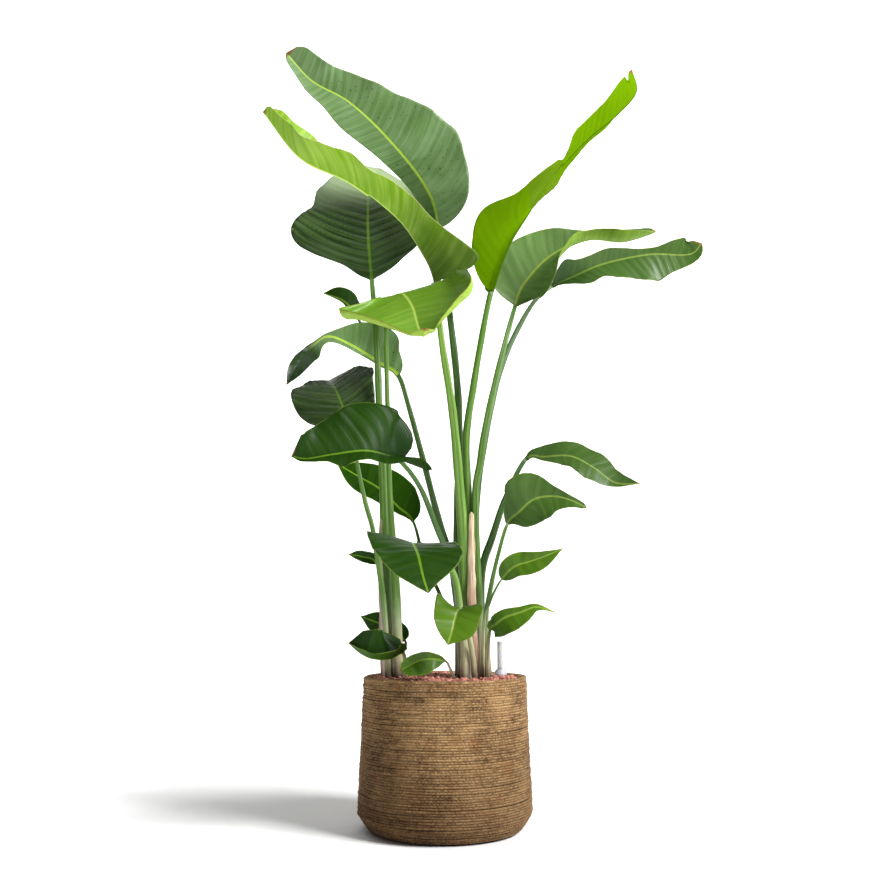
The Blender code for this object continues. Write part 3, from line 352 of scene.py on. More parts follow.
    "low_rear": leaf(
        [(-0.095, 0.040), (-0.090, 0.050, 0.335)],
        [(-0.085, 0.060, 0.365), (-0.130, 0.065, 0.395), (-0.180, 0.070, 0.415)],
        (0.004, 0.0035, 0.0025),
        (0.020, 0.025, 0.025, 0.020, 0), (0.020, 0.025, 0.025, 0.020, 0),
        (0, 0, 0), (0, 0, 0), sweep=(0.5, 0.5), look="deep", skin="dark", fine=0.5),
    "low_front": leaf(
        [(0.020, -0.070), (0.010, -0.075, 0.315)],
        [(0.000, -0.080, 0.33), (-0.030, -0.100, 0.335), (-0.055, -0.120, 0.33),
         (-0.085, -0.130, 0.315)],
        (0.003, 0.0025, 0.002),
        (0.008, 0.018, 0.026, 0.030, 0.024, 0.012), (0.006, 0.010, 0.014, 0.016, 0.016, 0.010),
        (20, 20, 20), (10, 10, 10), tip=0.1, look="young", shade=0.8, skin="dark", fine=0.6),
}

# dry sheaths at the foot of the stalks: points from foot to tip, half width, and the colours
# of the tip and of the foot
SHEATHS = {
    "sheath_tall": ([(0.060, -0.030, STALK_FOOT), (0.055, -0.030, 0.45), (0.055, -0.025, 0.55),
                     (0.055, -0.025, 0.63)], 0.011, (0.70, 0.56, 0.36), (0.42, 0.26, 0.18)),
    "sheath_pale": ([(0.050, -0.035, STALK_FOOT), (0.050, -0.035, 0.33),
                     (0.050, -0.035, 0.37)], 0.008, (0.72, 0.68, 0.62), (0.50, 0.44, 0.40)),
    "sheath_left": ([(-0.125, -0.010, STALK_FOOT), (-0.130, -0.010, 0.40),
                     (-0.135, -0.005, 0.52), (-0.135, 0.000, 0.62)], 0.007,
                    (0.44, 0.40, 0.24), (0.50, 0.36, 0.30)),
}

# blade colours: upper side, pale bands (partly a painted highlight on the pleats), midrib, margin and
# underside; then the amount of spots, the strength of the bands and the gloss
LOOKS = {
    "sheen": ((0.080, 0.155, 0.040), (0.165, 0.265, 0.120), (0.34, 0.50, 0.05),
              (0.16, 0.22, 0.03), (0.06, 0.12, 0.02), 0.8, 0.40, 0.30),
    "deep": ((0.009, 0.036, 0.001), (0.020, 0.062, 0.003), (0.12, 0.25, 0.015),
             (0.14, 0.22, 0.02), (0.03, 0.09, 0.005), 0.2, 0.35, 0.12),
    "pleated": ((0.006, 0.022, 0.001), (0.045, 0.082, 0.022), (0.09, 0.19, 0.01),
                (0.08, 0.13, 0.01), (0.03, 0.08, 0.01), 0.1, 0.8, 0.25),
    "pale": ((0.110, 0.210, 0.050), (0.180, 0.290, 0.095), (0.32, 0.44, 0.06),
             (0.26, 0.34, 0.04), (0.085, 0.180, 0.005), 0.1, 0.5, 0.22),
    "mid": ((0.040, 0.100, 0.010), (0.075, 0.145, 0.028), (0.20, 0.30, 0.05),
            (0.20, 0.24, 0.02), (0.06, 0.14, 0.01), 0.1, 0.4, 0.20),
    "light": ((0.100, 0.240, 0.005), (0.175, 0.320, 0.028), (0.38, 0.52, 0.08),
              (0.20, 0.20, 0.02), (0.24, 0.38, 0.04), 0.2, 0.45, 0.20),
    "young": ((0.060, 0.150, 0.004), (0.090, 0.190, 0.014), (0.22, 0.36, 0.04),
              (0.20, 0.30, 0.02), (0.10, 0.24, 0.01), 0.1, 0.3, 0.18),
    "fresh": ((0.150, 0.310, 0.004), (0.300, 0.470, 0.060), (0.52, 0.70, 0.14),
              (0.44, 0.50, 0.16), (0.150, 0.310, 0.003), 0.0, 0.6, 0.10),
    "vivid": ((0.100, 0.200, 0.004), (0.140, 0.240, 0.015), (0.05, 0.12, 0.002),
              (0.24, 0.36, 0.03), (0.110, 0.230, 0.001), 0.0, 0.3, 0.0),
}

# stalk colours: foot, middle, top and streaks
SKINS = {
    "dark": ((0.20, 0.25, 0.12), (0.024, 0.075, 0.004), (0.030, 0.095, 0.006), (0.08, 0.16, 0.02)),
    "green": ((0.44, 0.46, 0.30), (0.060, 0.145, 0.010), (0.060, 0.155, 0.009),
              (0.17, 0.28, 0.05)),
    "light": ((0.52, 0.55, 0.34), (0.110, 0.230, 0.025), (0.120, 0.240, 0.016),
              (0.26, 0.40, 0.08)),
}

# colours of marks, wear, small parts and painted shade
LEAF_SPOT = (0.010, 0.030, 0.008)
PAINTED_BASE_SHADE = (0.004, 0.022, 0.0)
PAINTED_CHANNEL_SHADE = (0.02, 0.06, 0.01)
STALK_RUST = (0.16, 0.05, 0.03)
STALK_PAPER = (0.30, 0.17, 0.10)
SOIL = (0.07, 0.045, 0.035)
CLAY_WARM = (0.36, 0.12, 0.06)
CLAY_DUST = (0.72, 0.52, 0.46)
HUSK_FIBRE = (0.18, 0.075, 0.04)
HUSK_PALE = (0.66, 0.56, 0.48)
ROOT_DARK = (0.07, 0.035, 0.02)
ROOT_LIGHT = (0.34, 0.20, 0.11)
TUBE = (0.62, 0.64, 0.65)


# --------------------------------------------------------------------- settings

def a_colour(name, value, about):
    return FloatVectorProperty(name=name, description=about, subtype="COLOR", size=3,
                               min=0.0, max=1.0, default=value)


def a_length(name, value, about):
    return FloatProperty(name=name, description=about, subtype="DISTANCE", unit="LENGTH",
                         min=0.0, default=value, precision=4)


def a_power(name, value, about):
    return FloatProperty(name=name, description=about, unit="POWER", min=0.0, default=value)


class LeafSettings(bpy.types.PropertyGroup):
    """Sizes of the blades' and the stalks' surfaces"""
    row_length: a_length("Row length", 0.0065, "Length of the faces along a blade")
    half_columns: IntProperty(name="Half columns", default=17, min=4,
                              description="Rows of faces from the midrib to a margin")
    vein_spacing: a_length("Vein spacing", 0.0030, "Distance between the fine side veins")
    pleat_spacing: a_length("Pleat spacing", 0.021, "Distance between the pleats of a blade")
    unevenness: a_length("Unevenness", 0.0018, "How far a blade swells out of its plain form")
    ring_length: a_length("Stalk ring length", 0.008, "Distance between the rings of a stalk")
    brown: a_colour("Tip colour", (0.20, 0.10, 0.02), "Colour of the dry tips of the blades")


class PlanterSettings(bpy.types.PropertyGroup):
    """The rope's size, and the colours of the rope and the pots"""
    rope_pitch: a_length("Rope pitch", 0.0048, "Distance between two turns of the rope")
    rope_radius: a_length("Rope radius", 0.0026, "Half the thickness of the rope")
    rope_light: a_colour("Light fibre", (0.53, 0.330, 0.150), "Colour of the rope's pale fibres")
    rope_dark: a_colour("Dark fibre", (0.065, 0.026, 0.008), "Colour of the rope's dark fibres")
    rope_rusty: a_colour("Rusty fibre", (0.30, 0.120, 0.035), "Colour of the rope's reddish patches")
    shell_colour: a_colour("Shell", (0.035, 0.03, 0.026), "Colour of the planter under its rope")
    pot_colour: a_colour("Culture pot", (0.02, 0.02, 0.02), "Colour of the pot inside the planter")


class GranuleSettings(bpy.types.PropertyGroup):
    """Size and colours of the clay granules"""
    spacing: a_length("Spacing", 0.0074, "Distance between the middles of the granules")
    radius: a_length("Radius", 0.0042, "Usual radius of a granule")
    clay_light: a_colour("Light clay", (0.78, 0.32, 0.24), "Colour of the palest granules")
    clay_dark: a_colour("Dark clay", (0.17, 0.055, 0.045), "Colour of the darkest granules")


class GaugeSettings(bpy.types.PropertyGroup):
    """Colours of the water gauge"""
    housing_colour: a_colour("Housing", (0.54, 0.56, 0.62), "Colour of the gauge's funnel")
    cap_colour: a_colour("Cap", (0.52, 0.54, 0.55), "Colour of the clear cap")
    float_colour: a_colour("Float", (0.16, 0.004, 0.004), "Colour of the float's head")
    tick_colour: a_colour("Ticks", (0.62, 0.50, 0.30), "Colour of the marks on the sight tube")


class StageSettings(bpy.types.PropertyGroup):
    """Floor, lights and camera"""
    floor_colour: a_colour("Floor", (0.94, 0.94, 0.94), "Colour of the floor and backdrop")
    surround: FloatProperty(name="Surround", default=0.12, min=0.0,
                            description="Strength of the light from all round")
    key_power: a_power("Key light", 1050.0, "Power of the light from the right")
    top_power: a_power("Top light", 20.0, "Power of the light overhead")
    camera_distance: a_length("Camera distance", 2.0, "From the camera to the planter's axis")
    camera_height: a_length("Camera height", 0.436, "Height of the camera above the floor")
    camera_pitch: FloatProperty(name="Camera pitch", default=math.radians(9.63),
                                subtype="ANGLE", unit="ROTATION",
                                description="Angle by which the camera looks up")
    focal_length: FloatProperty(name="Focal length", default=38.47, min=1.0,
                                description="Focal length of the camera in millimetres")


# ----------------------------------------------------------------------- curves

def through(values, at):
    """Smooth (Catmull-Rom) interpolation through evenly keyed values, at in 0..1."""
    keys = np.array(values, float)
    if keys.ndim == 1:
        keys = keys[:, None]
    keys = np.vstack([2 * keys[0] - keys[1], keys, 2 * keys[-1] - keys[-2]])
    place = np.clip(np.atleast_1d(at), 0, 1) * (len(keys) - 3)
    index = np.minimum(place.astype(int), len(keys) - 4)
    t = (place - index)[:, None]
    a, b, c, d = (keys[index + k] for k in range(4))
    return 0.5 * (2 * b + (c - a) * t + (2 * a - 5 * b + 4 * c - d) * t ** 2
                  + (3 * b - a - 3 * c + d) * t ** 3)


def unit(vectors):
    return vectors / np.maximum(np.linalg.norm(vectors, axis=-1, keepdims=True), 1e-12)


def smooth(x, low, high):
    """Smooth step from 0 at low to 1 at high."""
    t = np.clip((x - low) / (high - low), 0, 1)
    return t * t * (3 - 2 * t)


def smoothed(values, window):
    """Columns of values, each averaged over a moving window."""
    return np.column_stack([np.convolve(column, window / window.sum(), "same")
                            for column in values.T])


class Line:
    """A smooth line through points, read by distance along it."""

    def __init__(self, points, samples=600):
        at = np.linspace(0, 1, samples)
        self.points = through(points, at)
        steps = np.linalg.norm(np.diff(self.points, axis=0), axis=1)
        self.run = np.concatenate([[0], np.cumsum(steps)])
        self.length = self.run[-1]
        self.keys = np.interp(np.linspace(0, 1, len(points)), at, self.run)

    def at(self, distance):
        """Points at the given distances along the line."""
        return np.column_stack([np.interp(distance, self.run, self.points[:, k])
                                for k in range(self.points.shape[1])])

    def tangent(self, distance, reach=0.003):
        """Directions of the line, each read over a short reach to both sides."""
        ahead = self.at(np.minimum(distance + reach, self.length))
        return unit(ahead - self.at(np.maximum(distance - reach, 0)))


def leaf_line(spec):
    """The whole line of a leaf, and the distance along it where the blade starts."""
    foot_x, foot_y = spec["stalk"][0]
    foot = (foot_x, foot_y, STALK_FOOT)
    line = Line([foot, *spec["stalk"][1:], *spec["spine"]])
    return line, line.keys[len(spec["stalk"])]


# ----------------------------------------------------------------------- meshes

def new_piece(name, points, faces, attributes, material):
    """A smooth-shaded mesh object with its own point attributes."""
    mesh = bpy.data.meshes.new(name)
    mesh.from_pydata(np.asarray(points, float).tolist(), [], faces)
    for label, values in attributes.items():
        layer = mesh.attributes.new(label, "FLOAT_VECTOR", "POINT")
        layer.data.foreach_set("vector", np.asarray(values, np.float32).ravel())
    mesh.materials.append(material)
    mesh.update()
    mesh.shade_smooth()
    piece = bpy.data.objects.new(name, mesh)
    bpy.context.scene.collection.objects.link(piece)
    return piece


def stand_in(name, node, mesh, material):
    """Makes a piece that rides with the part, in place of one of its nodes."""
    piece = new_piece(name, *mesh, material)
    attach(piece, "root")
    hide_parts(node)


def layered(*values):
    """One vector for each point of a grid, from values that spread over the grid."""
    return np.stack(np.broadcast_arrays(*values), axis=-1).reshape(-1, len(values))


def closed_sheet(rows, columns):
    """Faces of a closed body between two grids that share their size, front grid first."""
    under = rows * columns
    faces = []
    for i in range(rows - 1):
        for j in range(columns - 1):
            a, b = i * columns + j, (i + 1) * columns + j
            faces.append((a, a + 1, b + 1, b))
            faces.append((b + under, b + 1 + under, a + 1 + under, a + under))
    rim = list(range(columns - 1))
    rim += [i * columns + columns - 1 for i in range(rows - 1)]
    rim += [(rows - 1) * columns + j for j in range(columns - 1, 0, -1)]
    rim += [i * columns for i in range(rows - 1, 0, -1)]
    faces += [(b, a, a + under, b + under) for a, b in zip(rim, rim[1:] + rim[:1])]
    return faces


def tube_faces(rings, sides):
    """Faces of a tube of rings, closed at both ends."""
    faces = [tuple(range(sides))[::-1]]
    for i in range(rings - 1):
        for j in range(sides):
            k = (j + 1) % sides
            faces.append((i * sides + j, i * sides + k, (i + 1) * sides + k, (i + 1) * sides + j))
    last = (rings - 1) * sides
    faces.append(tuple(range(last, last + sides)))
    return faces


# ----------------------------------------------------------------------- blades

def keyed(values, u):
    """A plain number, or a list of them read along u."""
    if isinstance(values, (int, float)):
        return np.full(len(u), float(values))
    return through(values, u)[:, 0]


def half_width(keys, u, base, tip):
    """Half width of a blade at u, rounded off at its base and at a blunt tip."""
    start = np.clip(1 - u / base, 0, 1)
    end = np.clip(1 - (1 - u) / max(tip, 1e-6), 0, 1)
    return np.maximum(keyed(keys, u), 0) * np.sqrt((1 - start ** 2) * (1 - end ** 2))


def blade_frames(line, start, u, across):
    """Points on the midrib with their tangents, left directions and facing directions."""
    distance = start + u * (line.length - start)
    tangent = line.tangent(distance)
    if across is None:
        side = np.column_stack([-tangent[:, 2], 0 * u, tangent[:, 0]])
    else:
        side = np.tile(np.array(across, float), (len(u), 1))
    side = unit(side - np.sum(side * tangent, axis=1)[:, None] * tangent)
    return line.at(distance), tangent, side, np.cross(tangent, side)


def blade_relief(spec, which, reach, u, x, width, settings, draw):
    """Height of pleats, margin waves and unevenness over a half blade."""
    v = x / width[:, None]
    along = (u * reach)[:, None]
    fade = np.sin(np.pi * np.clip(u, 0, 1))[:, None] ** 0.6
    slanted = along - VEIN_SLANT * x - VEIN_BEND * x ** 2
    pleats = spec["pleat"] * np.cos(2 * np.pi * slanted / settings.pleat_spacing)
    pleats = pleats * smooth(v, 0.02, 0.30) * (1 - 0.4 * v) * fade
    height, count = spec["waves"][which]
    phase = draw.uniform(0, 1)
    beat = np.sin(2 * np.pi * (count * u[:, None] + phase))
    beat = beat + 0.45 * np.sin(2 * np.pi * (1.9 * count * u[:, None] + 2.3 * phase))
    waves = height * beat * v ** WAVE_RISE * fade
    swell = 0
    for _ in range(SWELLS):
        size = draw.uniform(*SWELL_LENGTHS)
        turn = draw.uniform(0, 2 * np.pi)
        swell = swell + np.sin((along * math.cos(turn) + x * math.sin(turn)) * 2 * np.pi / size
                               + draw.uniform(0, 6))
    return pleats + waves + settings.unevenness / SWELLS * swell * v * fade


def half_blade(spec, which, reach, u, v, frames, settings, draw):
    """Rows and columns of points on one half of a blade, with their distances from the midrib
    and from the margin."""
    origin, tangent, side, face = frames
    sign = 1 if which == 0 else -1
    lift = np.radians(keyed(spec["angles"][which], u))
    least = spec["radii"][-1] * (1 - u) + BLADE_THICK
    base = spec["base"] if isinstance(spec["base"], float) else spec["base"][which]
    width = np.maximum(half_width(spec["widths"][which], u, base, spec["tip"]), least)
    back = spec["sweep"][which] * np.clip(1 - u / LOBE, 0, 1) * (u > 0)
    curl, lip = (np.radians(keyed(spec[key][which], u)) for key in ("curl", "lip"))
    angle = lift[:, None] + curl[:, None] * v + lip[:, None] * smooth(v, 0.80, 1)
    cosine, sine = np.cos(angle)[..., None], np.sin(angle)[..., None]
    out = sign * cosine * side[:, None] + sine * face[:, None]
    normal = cosine * face[:, None] - sign * sine * side[:, None]
    swept = (v[None, :] * back[:, None])[..., None] * tangent[:, None]
    steps = (out - swept) * (width[:, None] * np.diff(v, prepend=0)[None, :])[..., None]
    points = origin[:, None] + np.cumsum(steps, axis=1)
    x = width[:, None] * v[None, :]
    relief = blade_relief(spec, which, reach, u, x, width, settings, draw)
    return points + normal * relief[..., None], sign * x, width[:, None] - x


def whole_blade(spec, line, start, u, v, seed, settings):
    """Grid of a blade's points and normals, with the distances from its midrib and margin."""
    frames = blade_frames(line, start, u, spec["across"])
    reach = line.length - start
    draw = np.random.default_rng(seed)
    left, left_x, left_edge = half_blade(spec, 0, reach, u, v, frames, settings, draw)
    right, right_x, right_edge = half_blade(spec, 1, reach, u, v, frames, settings, draw)
    points = np.concatenate([left[:, ::-1], frames[0][:, None], right], axis=1)
    x = np.concatenate([left_x[:, ::-1], 0 * left_x[:, :1], right_x], axis=1)
    edge = np.concatenate([left_edge[:, ::-1], left_edge[:, :1], right_edge], axis=1)
    normal = -unit(np.cross(np.gradient(points, axis=0), np.gradient(points, axis=1)))
    normal *= np.sign(np.sum(normal * frames[3][:, None], axis=(1, 2)))[:, None, None]
    return points, normal, x, edge


def sheet_mesh(front, rear, along, share, x, edge, under):
    """A closed sheet with what its finish reads; under is 1 for the grid on its underside."""
    place = [layered(along[:, None], x, side) for side in under]
    shares = layered(share[:, None], edge, 0.0)
    attributes = {"leaf_place": np.concatenate(place),
                  "leaf_share": np.concatenate([shares, shares])}
    points = np.concatenate([front.reshape(-1, 3), rear.reshape(-1, 3)])
    return points, closed_sheet(*x.shape), attributes


def blade_mesh(spec, seed, settings):
    """A closed blade with a raised midrib below and a shallow groove over it."""
    line, start = leaf_line(spec)
    start = start + JOINT_GAP
    reach = line.length - start
    rows = max(24, int(reach / settings.row_length * spec["fine"]))
    columns = max(9, int(settings.half_columns * spec["fine"] ** 0.5))
    u = np.linspace(0, 1, rows + 1) ** 1.15
    v = np.concatenate([RIB_COLUMNS, np.linspace(0.10, 1, columns)])
    points, normal, x, edge = whole_blade(spec, line, start, u, v, seed, settings)
    rib = (spec["radii"][-1] * (1 - u) ** 0.8)[:, None]
    keel = np.sqrt(np.clip(rib ** 2 - (0.75 * x) ** 2, 0, None))
    depth = normal * (0.6 * BLADE_THICK + keel)[..., None]
    groove = normal * (GROOVE_DEPTH * np.exp(-(x / GROOVE_WIDTH) ** 2) * (1 - u)[:, None])[..., None]
    if spec["back"]:
        front, rear, under = points + depth, points + groove, (1.0, 0.0)
    else:
        front, rear, under = points - groove, points - depth, (0.0, 1.0)
    return sheet_mesh(front, rear, u * reach, u, x, edge, under)


def sheath_mesh(points, half, seed, settings):
    """A dry sheath: a thin blade with no midrib, bent round its stalk."""
    sides = (half, half, 0.8 * half, 0.5 * half)
    spec = leaf([points[0][:2]], points[1:], (BLADE_THICK,), sides, sides, (0, 0), (0, 0),
                curl=(-SHEATH_WRAP, -SHEATH_WRAP), base=0.01, pleat=0.0,
                waves=((0.0008, 5), (0.0008, 5)))
    line = Line(points)
    u = np.linspace(0, 1, 60)
    v = np.linspace(0.12, 1, 8)
    front, normal, x, edge = whole_blade(spec, line, 0.0, u, v, seed, settings)
    rear = front - normal * 0.7 * BLADE_THICK
    return sheet_mesh(front, rear, u * line.length, u, x, edge, (0.0, 0.0))


# ----------------------------------------------------------------------- stalks

def stalk_mesh(spec, seed, settings):
    """A channelled stalk, flat on top where it runs into the blade's midrib."""
    line, start = leaf_line(spec)
    rings = max(16, int(start / settings.ring_length))
    distance = np.linspace(0, start, rings)
    share = distance / start
    tangent = line.tangent(distance, reach=0.006)
    joint = blade_frames(line, start, np.array([0.0]), spec["across"])[3][0]
    if spec["back"]:
        joint = -joint
    top = unit(joint - np.sum(joint * tangent, axis=1)[:, None] * tangent)
    over = np.cross(tangent, top)
    angle = np.linspace(0, 2 * np.pi, STALK_SIDES, endpoint=False)
    x = np.sin(angle)[None, :] * np.ones((rings, 1))
    y = np.cos(angle)[None, :] * np.ones((rings, 1))
    flat = (0.10 + 0.80 * smooth(distance, start - FLAT_LENGTH, start))[:, None]
    channel = (CHANNEL_DEPTH * smooth(share, 0.15, 0.45) * (1 - smooth(share, 0.93, 1.0)))[:, None]
    y = np.where(y > 0, y * (1 - flat) - channel * np.exp(-(x / CHANNEL_WIDTH) ** 2), y)
    x = x * (1 + (CLASP_SWELL * np.exp(-distance / CLASP_LENGTH))[:, None])
    draw = np.random.default_rng(seed)
    wobble = 1 + 0.03 * np.sin(distance[:, None] * 60 + draw.uniform(0, 6))
    size = (through(spec["radii"], share) * wobble)[..., None]
    offset = x[..., None] * over[:, None] + y[..., None] * top[:, None]
    points = line.at(distance)[:, None] + size * offset
    place = layered(distance[:, None], angle / (2 * np.pi), share[:, None])
    return points.reshape(-1, 3), tube_faces(rings, STALK_SIDES), {"stalk_place": place}


# ------------------------------------------------------------------------ rope

def rope_mesh(settings):
    """One rope wound from the foot of the planter over its rim."""
    path = Line(np.array(ROPE_MIDLINE), samples=1200)
    turns = path.length / settings.rope_pitch
    per_turn, sides = ((ROPE_STEPS, ROPE_SIDES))
    count = int(turns * per_turn)
    turn = np.linspace(0, turns, count)
    run = turn * settings.rope_pitch
    draw = np.random.default_rng(ROPE_SEED)
    drift = smoothed(np.cumsum(draw.normal(0, 1, (count, 2)), axis=0), np.hanning(2 * per_turn // 3))
    drift -= smoothed(drift, np.ones(per_turn))
    drift /= drift.std(axis=0)
    middle = path.at(run)
    slope = path.tangent(run, reach=0.001)
    outward = np.column_stack([slope[:, 1], -slope[:, 0]])
    calm = np.clip(np.minimum(turn, turns - turn) / 2, 0, 1)[:, None]
    uneven = np.convolve(draw.normal(0, 1, count), np.hanning(9) / 2.1, "same")
    middle = middle + outward * ((ROPE_BULGE * drift[:, :1] + ROPE_KINK * uneven[:, None]) * calm)
    middle = middle + slope * (ROPE_STRAY * drift[:, 1:] * calm)
    radius = settings.rope_radius * (1 + 0.07 * np.tanh(drift[:, 0]) + 0.06 * np.tanh(uneven))
    radius *= np.clip(np.minimum(np.arange(count), np.arange(count)[::-1]) / 4 + 0.3, 0, 1)
    ring = np.linspace(0, 2 * np.pi, sides, endpoint=False)
    r, z = (middle[:, k:k + 1] + radius[:, None] * (np.cos(ring) * outward[:, k:k + 1]
                                                    + np.sin(ring) * slope[:, k:k + 1])
            for k in (0, 1))
    heading = 2 * np.pi * turn[:, None] + math.pi / 2
    points = np.stack([r * np.cos(heading), r * np.sin(heading), z], axis=-1)
    run_on = np.cumsum(2 * np.pi * middle[:, 0]) / per_turn
    place = layered(run_on[:, None], ring / (2 * np.pi), drift[:, :1])
    return points.reshape(-1, 3), tube_faces(count, sides), {"rope_place": place}


# --------------------------------------------------------------------- granules

def granule_spots(settings, draw):
    """Middles and sizes of the granules, in layers clear of the stalks and the gauge."""
    bed_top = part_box("clay_granules")[1].z
    gauge_low, gauge_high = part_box("gauge_housing")
    clear = [(*spec["stalk"][0], spec["radii"][0]) for spec in LEAVES.values()]
    clear.append(((gauge_low.x + gauge_high.x) / 2, (gauge_low.y + gauge_high.y) / 2, GAUGE_CLEAR))
    step = settings.spacing
    rows = range(-GRANULE_ROWS, GRANULE_ROWS + 1)
    spots = []
    for layer, (height, chance) in enumerate(GRANULE_LAYERS):
        reach = BED_R - settings.radius * (1 + 0.5 * layer)
        for row, column in product(rows, rows):
            x = (column + 0.5 * (row % 2) + 0.5 * layer) * step + draw.normal(0, 0.16) * step
            y = (row + 0.3 * layer) * step * ROW_PITCH + draw.normal(0, 0.16) * step
            size = settings.radius * draw.uniform(0.75, 1.15)
            if draw.uniform() > chance or math.hypot(x, y) > reach:
                continue
            if any(math.hypot(x - a, y - b) < c + 0.4 * size for a, b, c in clear):
                continue
            spots.append((x, y, bed_top + height + draw.normal(0, 0.0006), size))
    return spots


def granule_mesh(settings):
    """A layer of lumpy granules over the bed."""
    draw = np.random.default_rng(GRANULE_SEED)
    spots = granule_spots(settings, draw)
    shape = bmesh.new()
    bmesh.ops.create_icosphere(shape, subdivisions=2, radius=1)
    ball = unit(np.array([v.co for v in shape.verts]))
    faces = [[v.index for v in f.verts] for f in shape.faces]
    shape.free()
    points, all_faces, tones = [], [], []
    for x, y, z, size in spots:
        turn = np.linalg.qr(draw.normal(size=(3, 3)))[0]
        turn *= np.sign(np.linalg.det(turn))
        lumps = unit(draw.normal(size=(5, 3)))
        form = 1 + 0.10 * np.sum(np.cos(3 * (ball @ lumps.T) + draw.uniform(0, 6, 5)), axis=1) / 2
        body = (ball * form[:, None] * draw.uniform(0.82, 1.12, 3)) @ turn.T
        all_faces += [[k + len(points) * len(ball) for k in face] for face in faces]
        points.append(body * size + (x, y, z))
        tones.append(np.tile([draw.uniform(), draw.uniform(), 0], (len(ball), 1)))
    return np.concatenate(points), all_faces, {"granule_tone": np.concatenate(tones)}


# ------------------------------------------------------------------ shader nodes

class Nodes:
    """Adds nodes to a tree. An input may be a number, a colour or another node's output."""

    def __init__(self, tree):
        self.tree = tree
        tree.nodes.clear()

    def fill(self, socket, value):
        if isinstance(value, bpy.types.NodeSocket):
            self.tree.links.new(value, socket)
        elif socket.type == "RGBA":
            socket.default_value = (*tuple(value)[:3], 1)
        else:
            socket.default_value = value

    def node(self, kind, values=None, **settings):
        made = self.tree.nodes.new("ShaderNode" + kind)
        for key, value in settings.items():
            setattr(made, key, value)
        for key, value in (values or {}).items():
            self.fill(made.inputs[key], value)
        return made

    def attribute(self, name):
        """The three parts of a point attribute."""
        return self.parts(self.node("Attribute", attribute_name=name).outputs["Vector"])

    def place(self):
        return self.node("NewGeometry").outputs["Position"]

    def parts(self, vector):
        return self.node("SeparateXYZ", {0: vector}).outputs

    def math(self, operation, *values):
        return self.node("Math", dict(enumerate(values)), operation=operation).outputs[0]

    def times(self, a, b):
        return self.math("MULTIPLY", a, b)

    def times_plus(self, a, b, c):
        return self.math("MULTIPLY_ADD", a, b, c)

    def smooth(self, value, low, high, start=0.0, end=1.0):
        """Smooth step from start, where the value is low or less, to end."""
        return self.node("MapRange", {"Value": value, "From Min": low, "From Max": high,
                                      "To Min": start, "To Max": end},
                         interpolation_type="SMOOTHSTEP").outputs["Result"]

    def mix(self, factor, a, b):
        return self.node("Mix", {0: factor, 6: a, 7: b}, data_type="RGBA").outputs[2]

    def noise(self, vector, scale, detail=2.0, roughness=0.5):
        return self.node("TexNoise", {"Vector": vector, "Scale": scale, "Detail": detail,
                                      "Roughness": roughness}).outputs["Fac"]

    def vector(self, *values):
        return self.node("CombineXYZ", dict(enumerate(values))).outputs[0]

    def stripes(self, phase, sharp=0.0):
        """A wave of 0 to 1 that repeats with every whole number of the phase."""
        wave = self.math("ABSOLUTE", self.times_plus(self.math("FRACT", phase), 2.0, -1.0))
        return self.smooth(wave, sharp, 1.0)


def shader_group(name, inputs, build):
    """A node group that puts out a surface's colour, roughness and height, made once."""
    if name in bpy.data.node_groups:
        return bpy.data.node_groups[name]
    tree = bpy.data.node_groups.new(name, "ShaderNodeTree")
    for label, kind, default in inputs:
        socket = tree.interface.new_socket(label, in_out="INPUT", socket_type="NodeSocket" + kind)
        socket.default_value = (*default, 1) if kind == "Color" else default
    for label, kind in (("Base Color", "Color"), ("Roughness", "Float"), ("Height", "Float")):
        tree.interface.new_socket(label, in_out="OUTPUT", socket_type="NodeSocket" + kind)
    nodes = Nodes(tree)
    given = tree.nodes.new("NodeGroupInput").outputs
    result = tree.nodes.new("NodeGroupOutput").inputs
    for label, value in build(nodes, given).items():
        nodes.fill(result[label], value)
    return tree


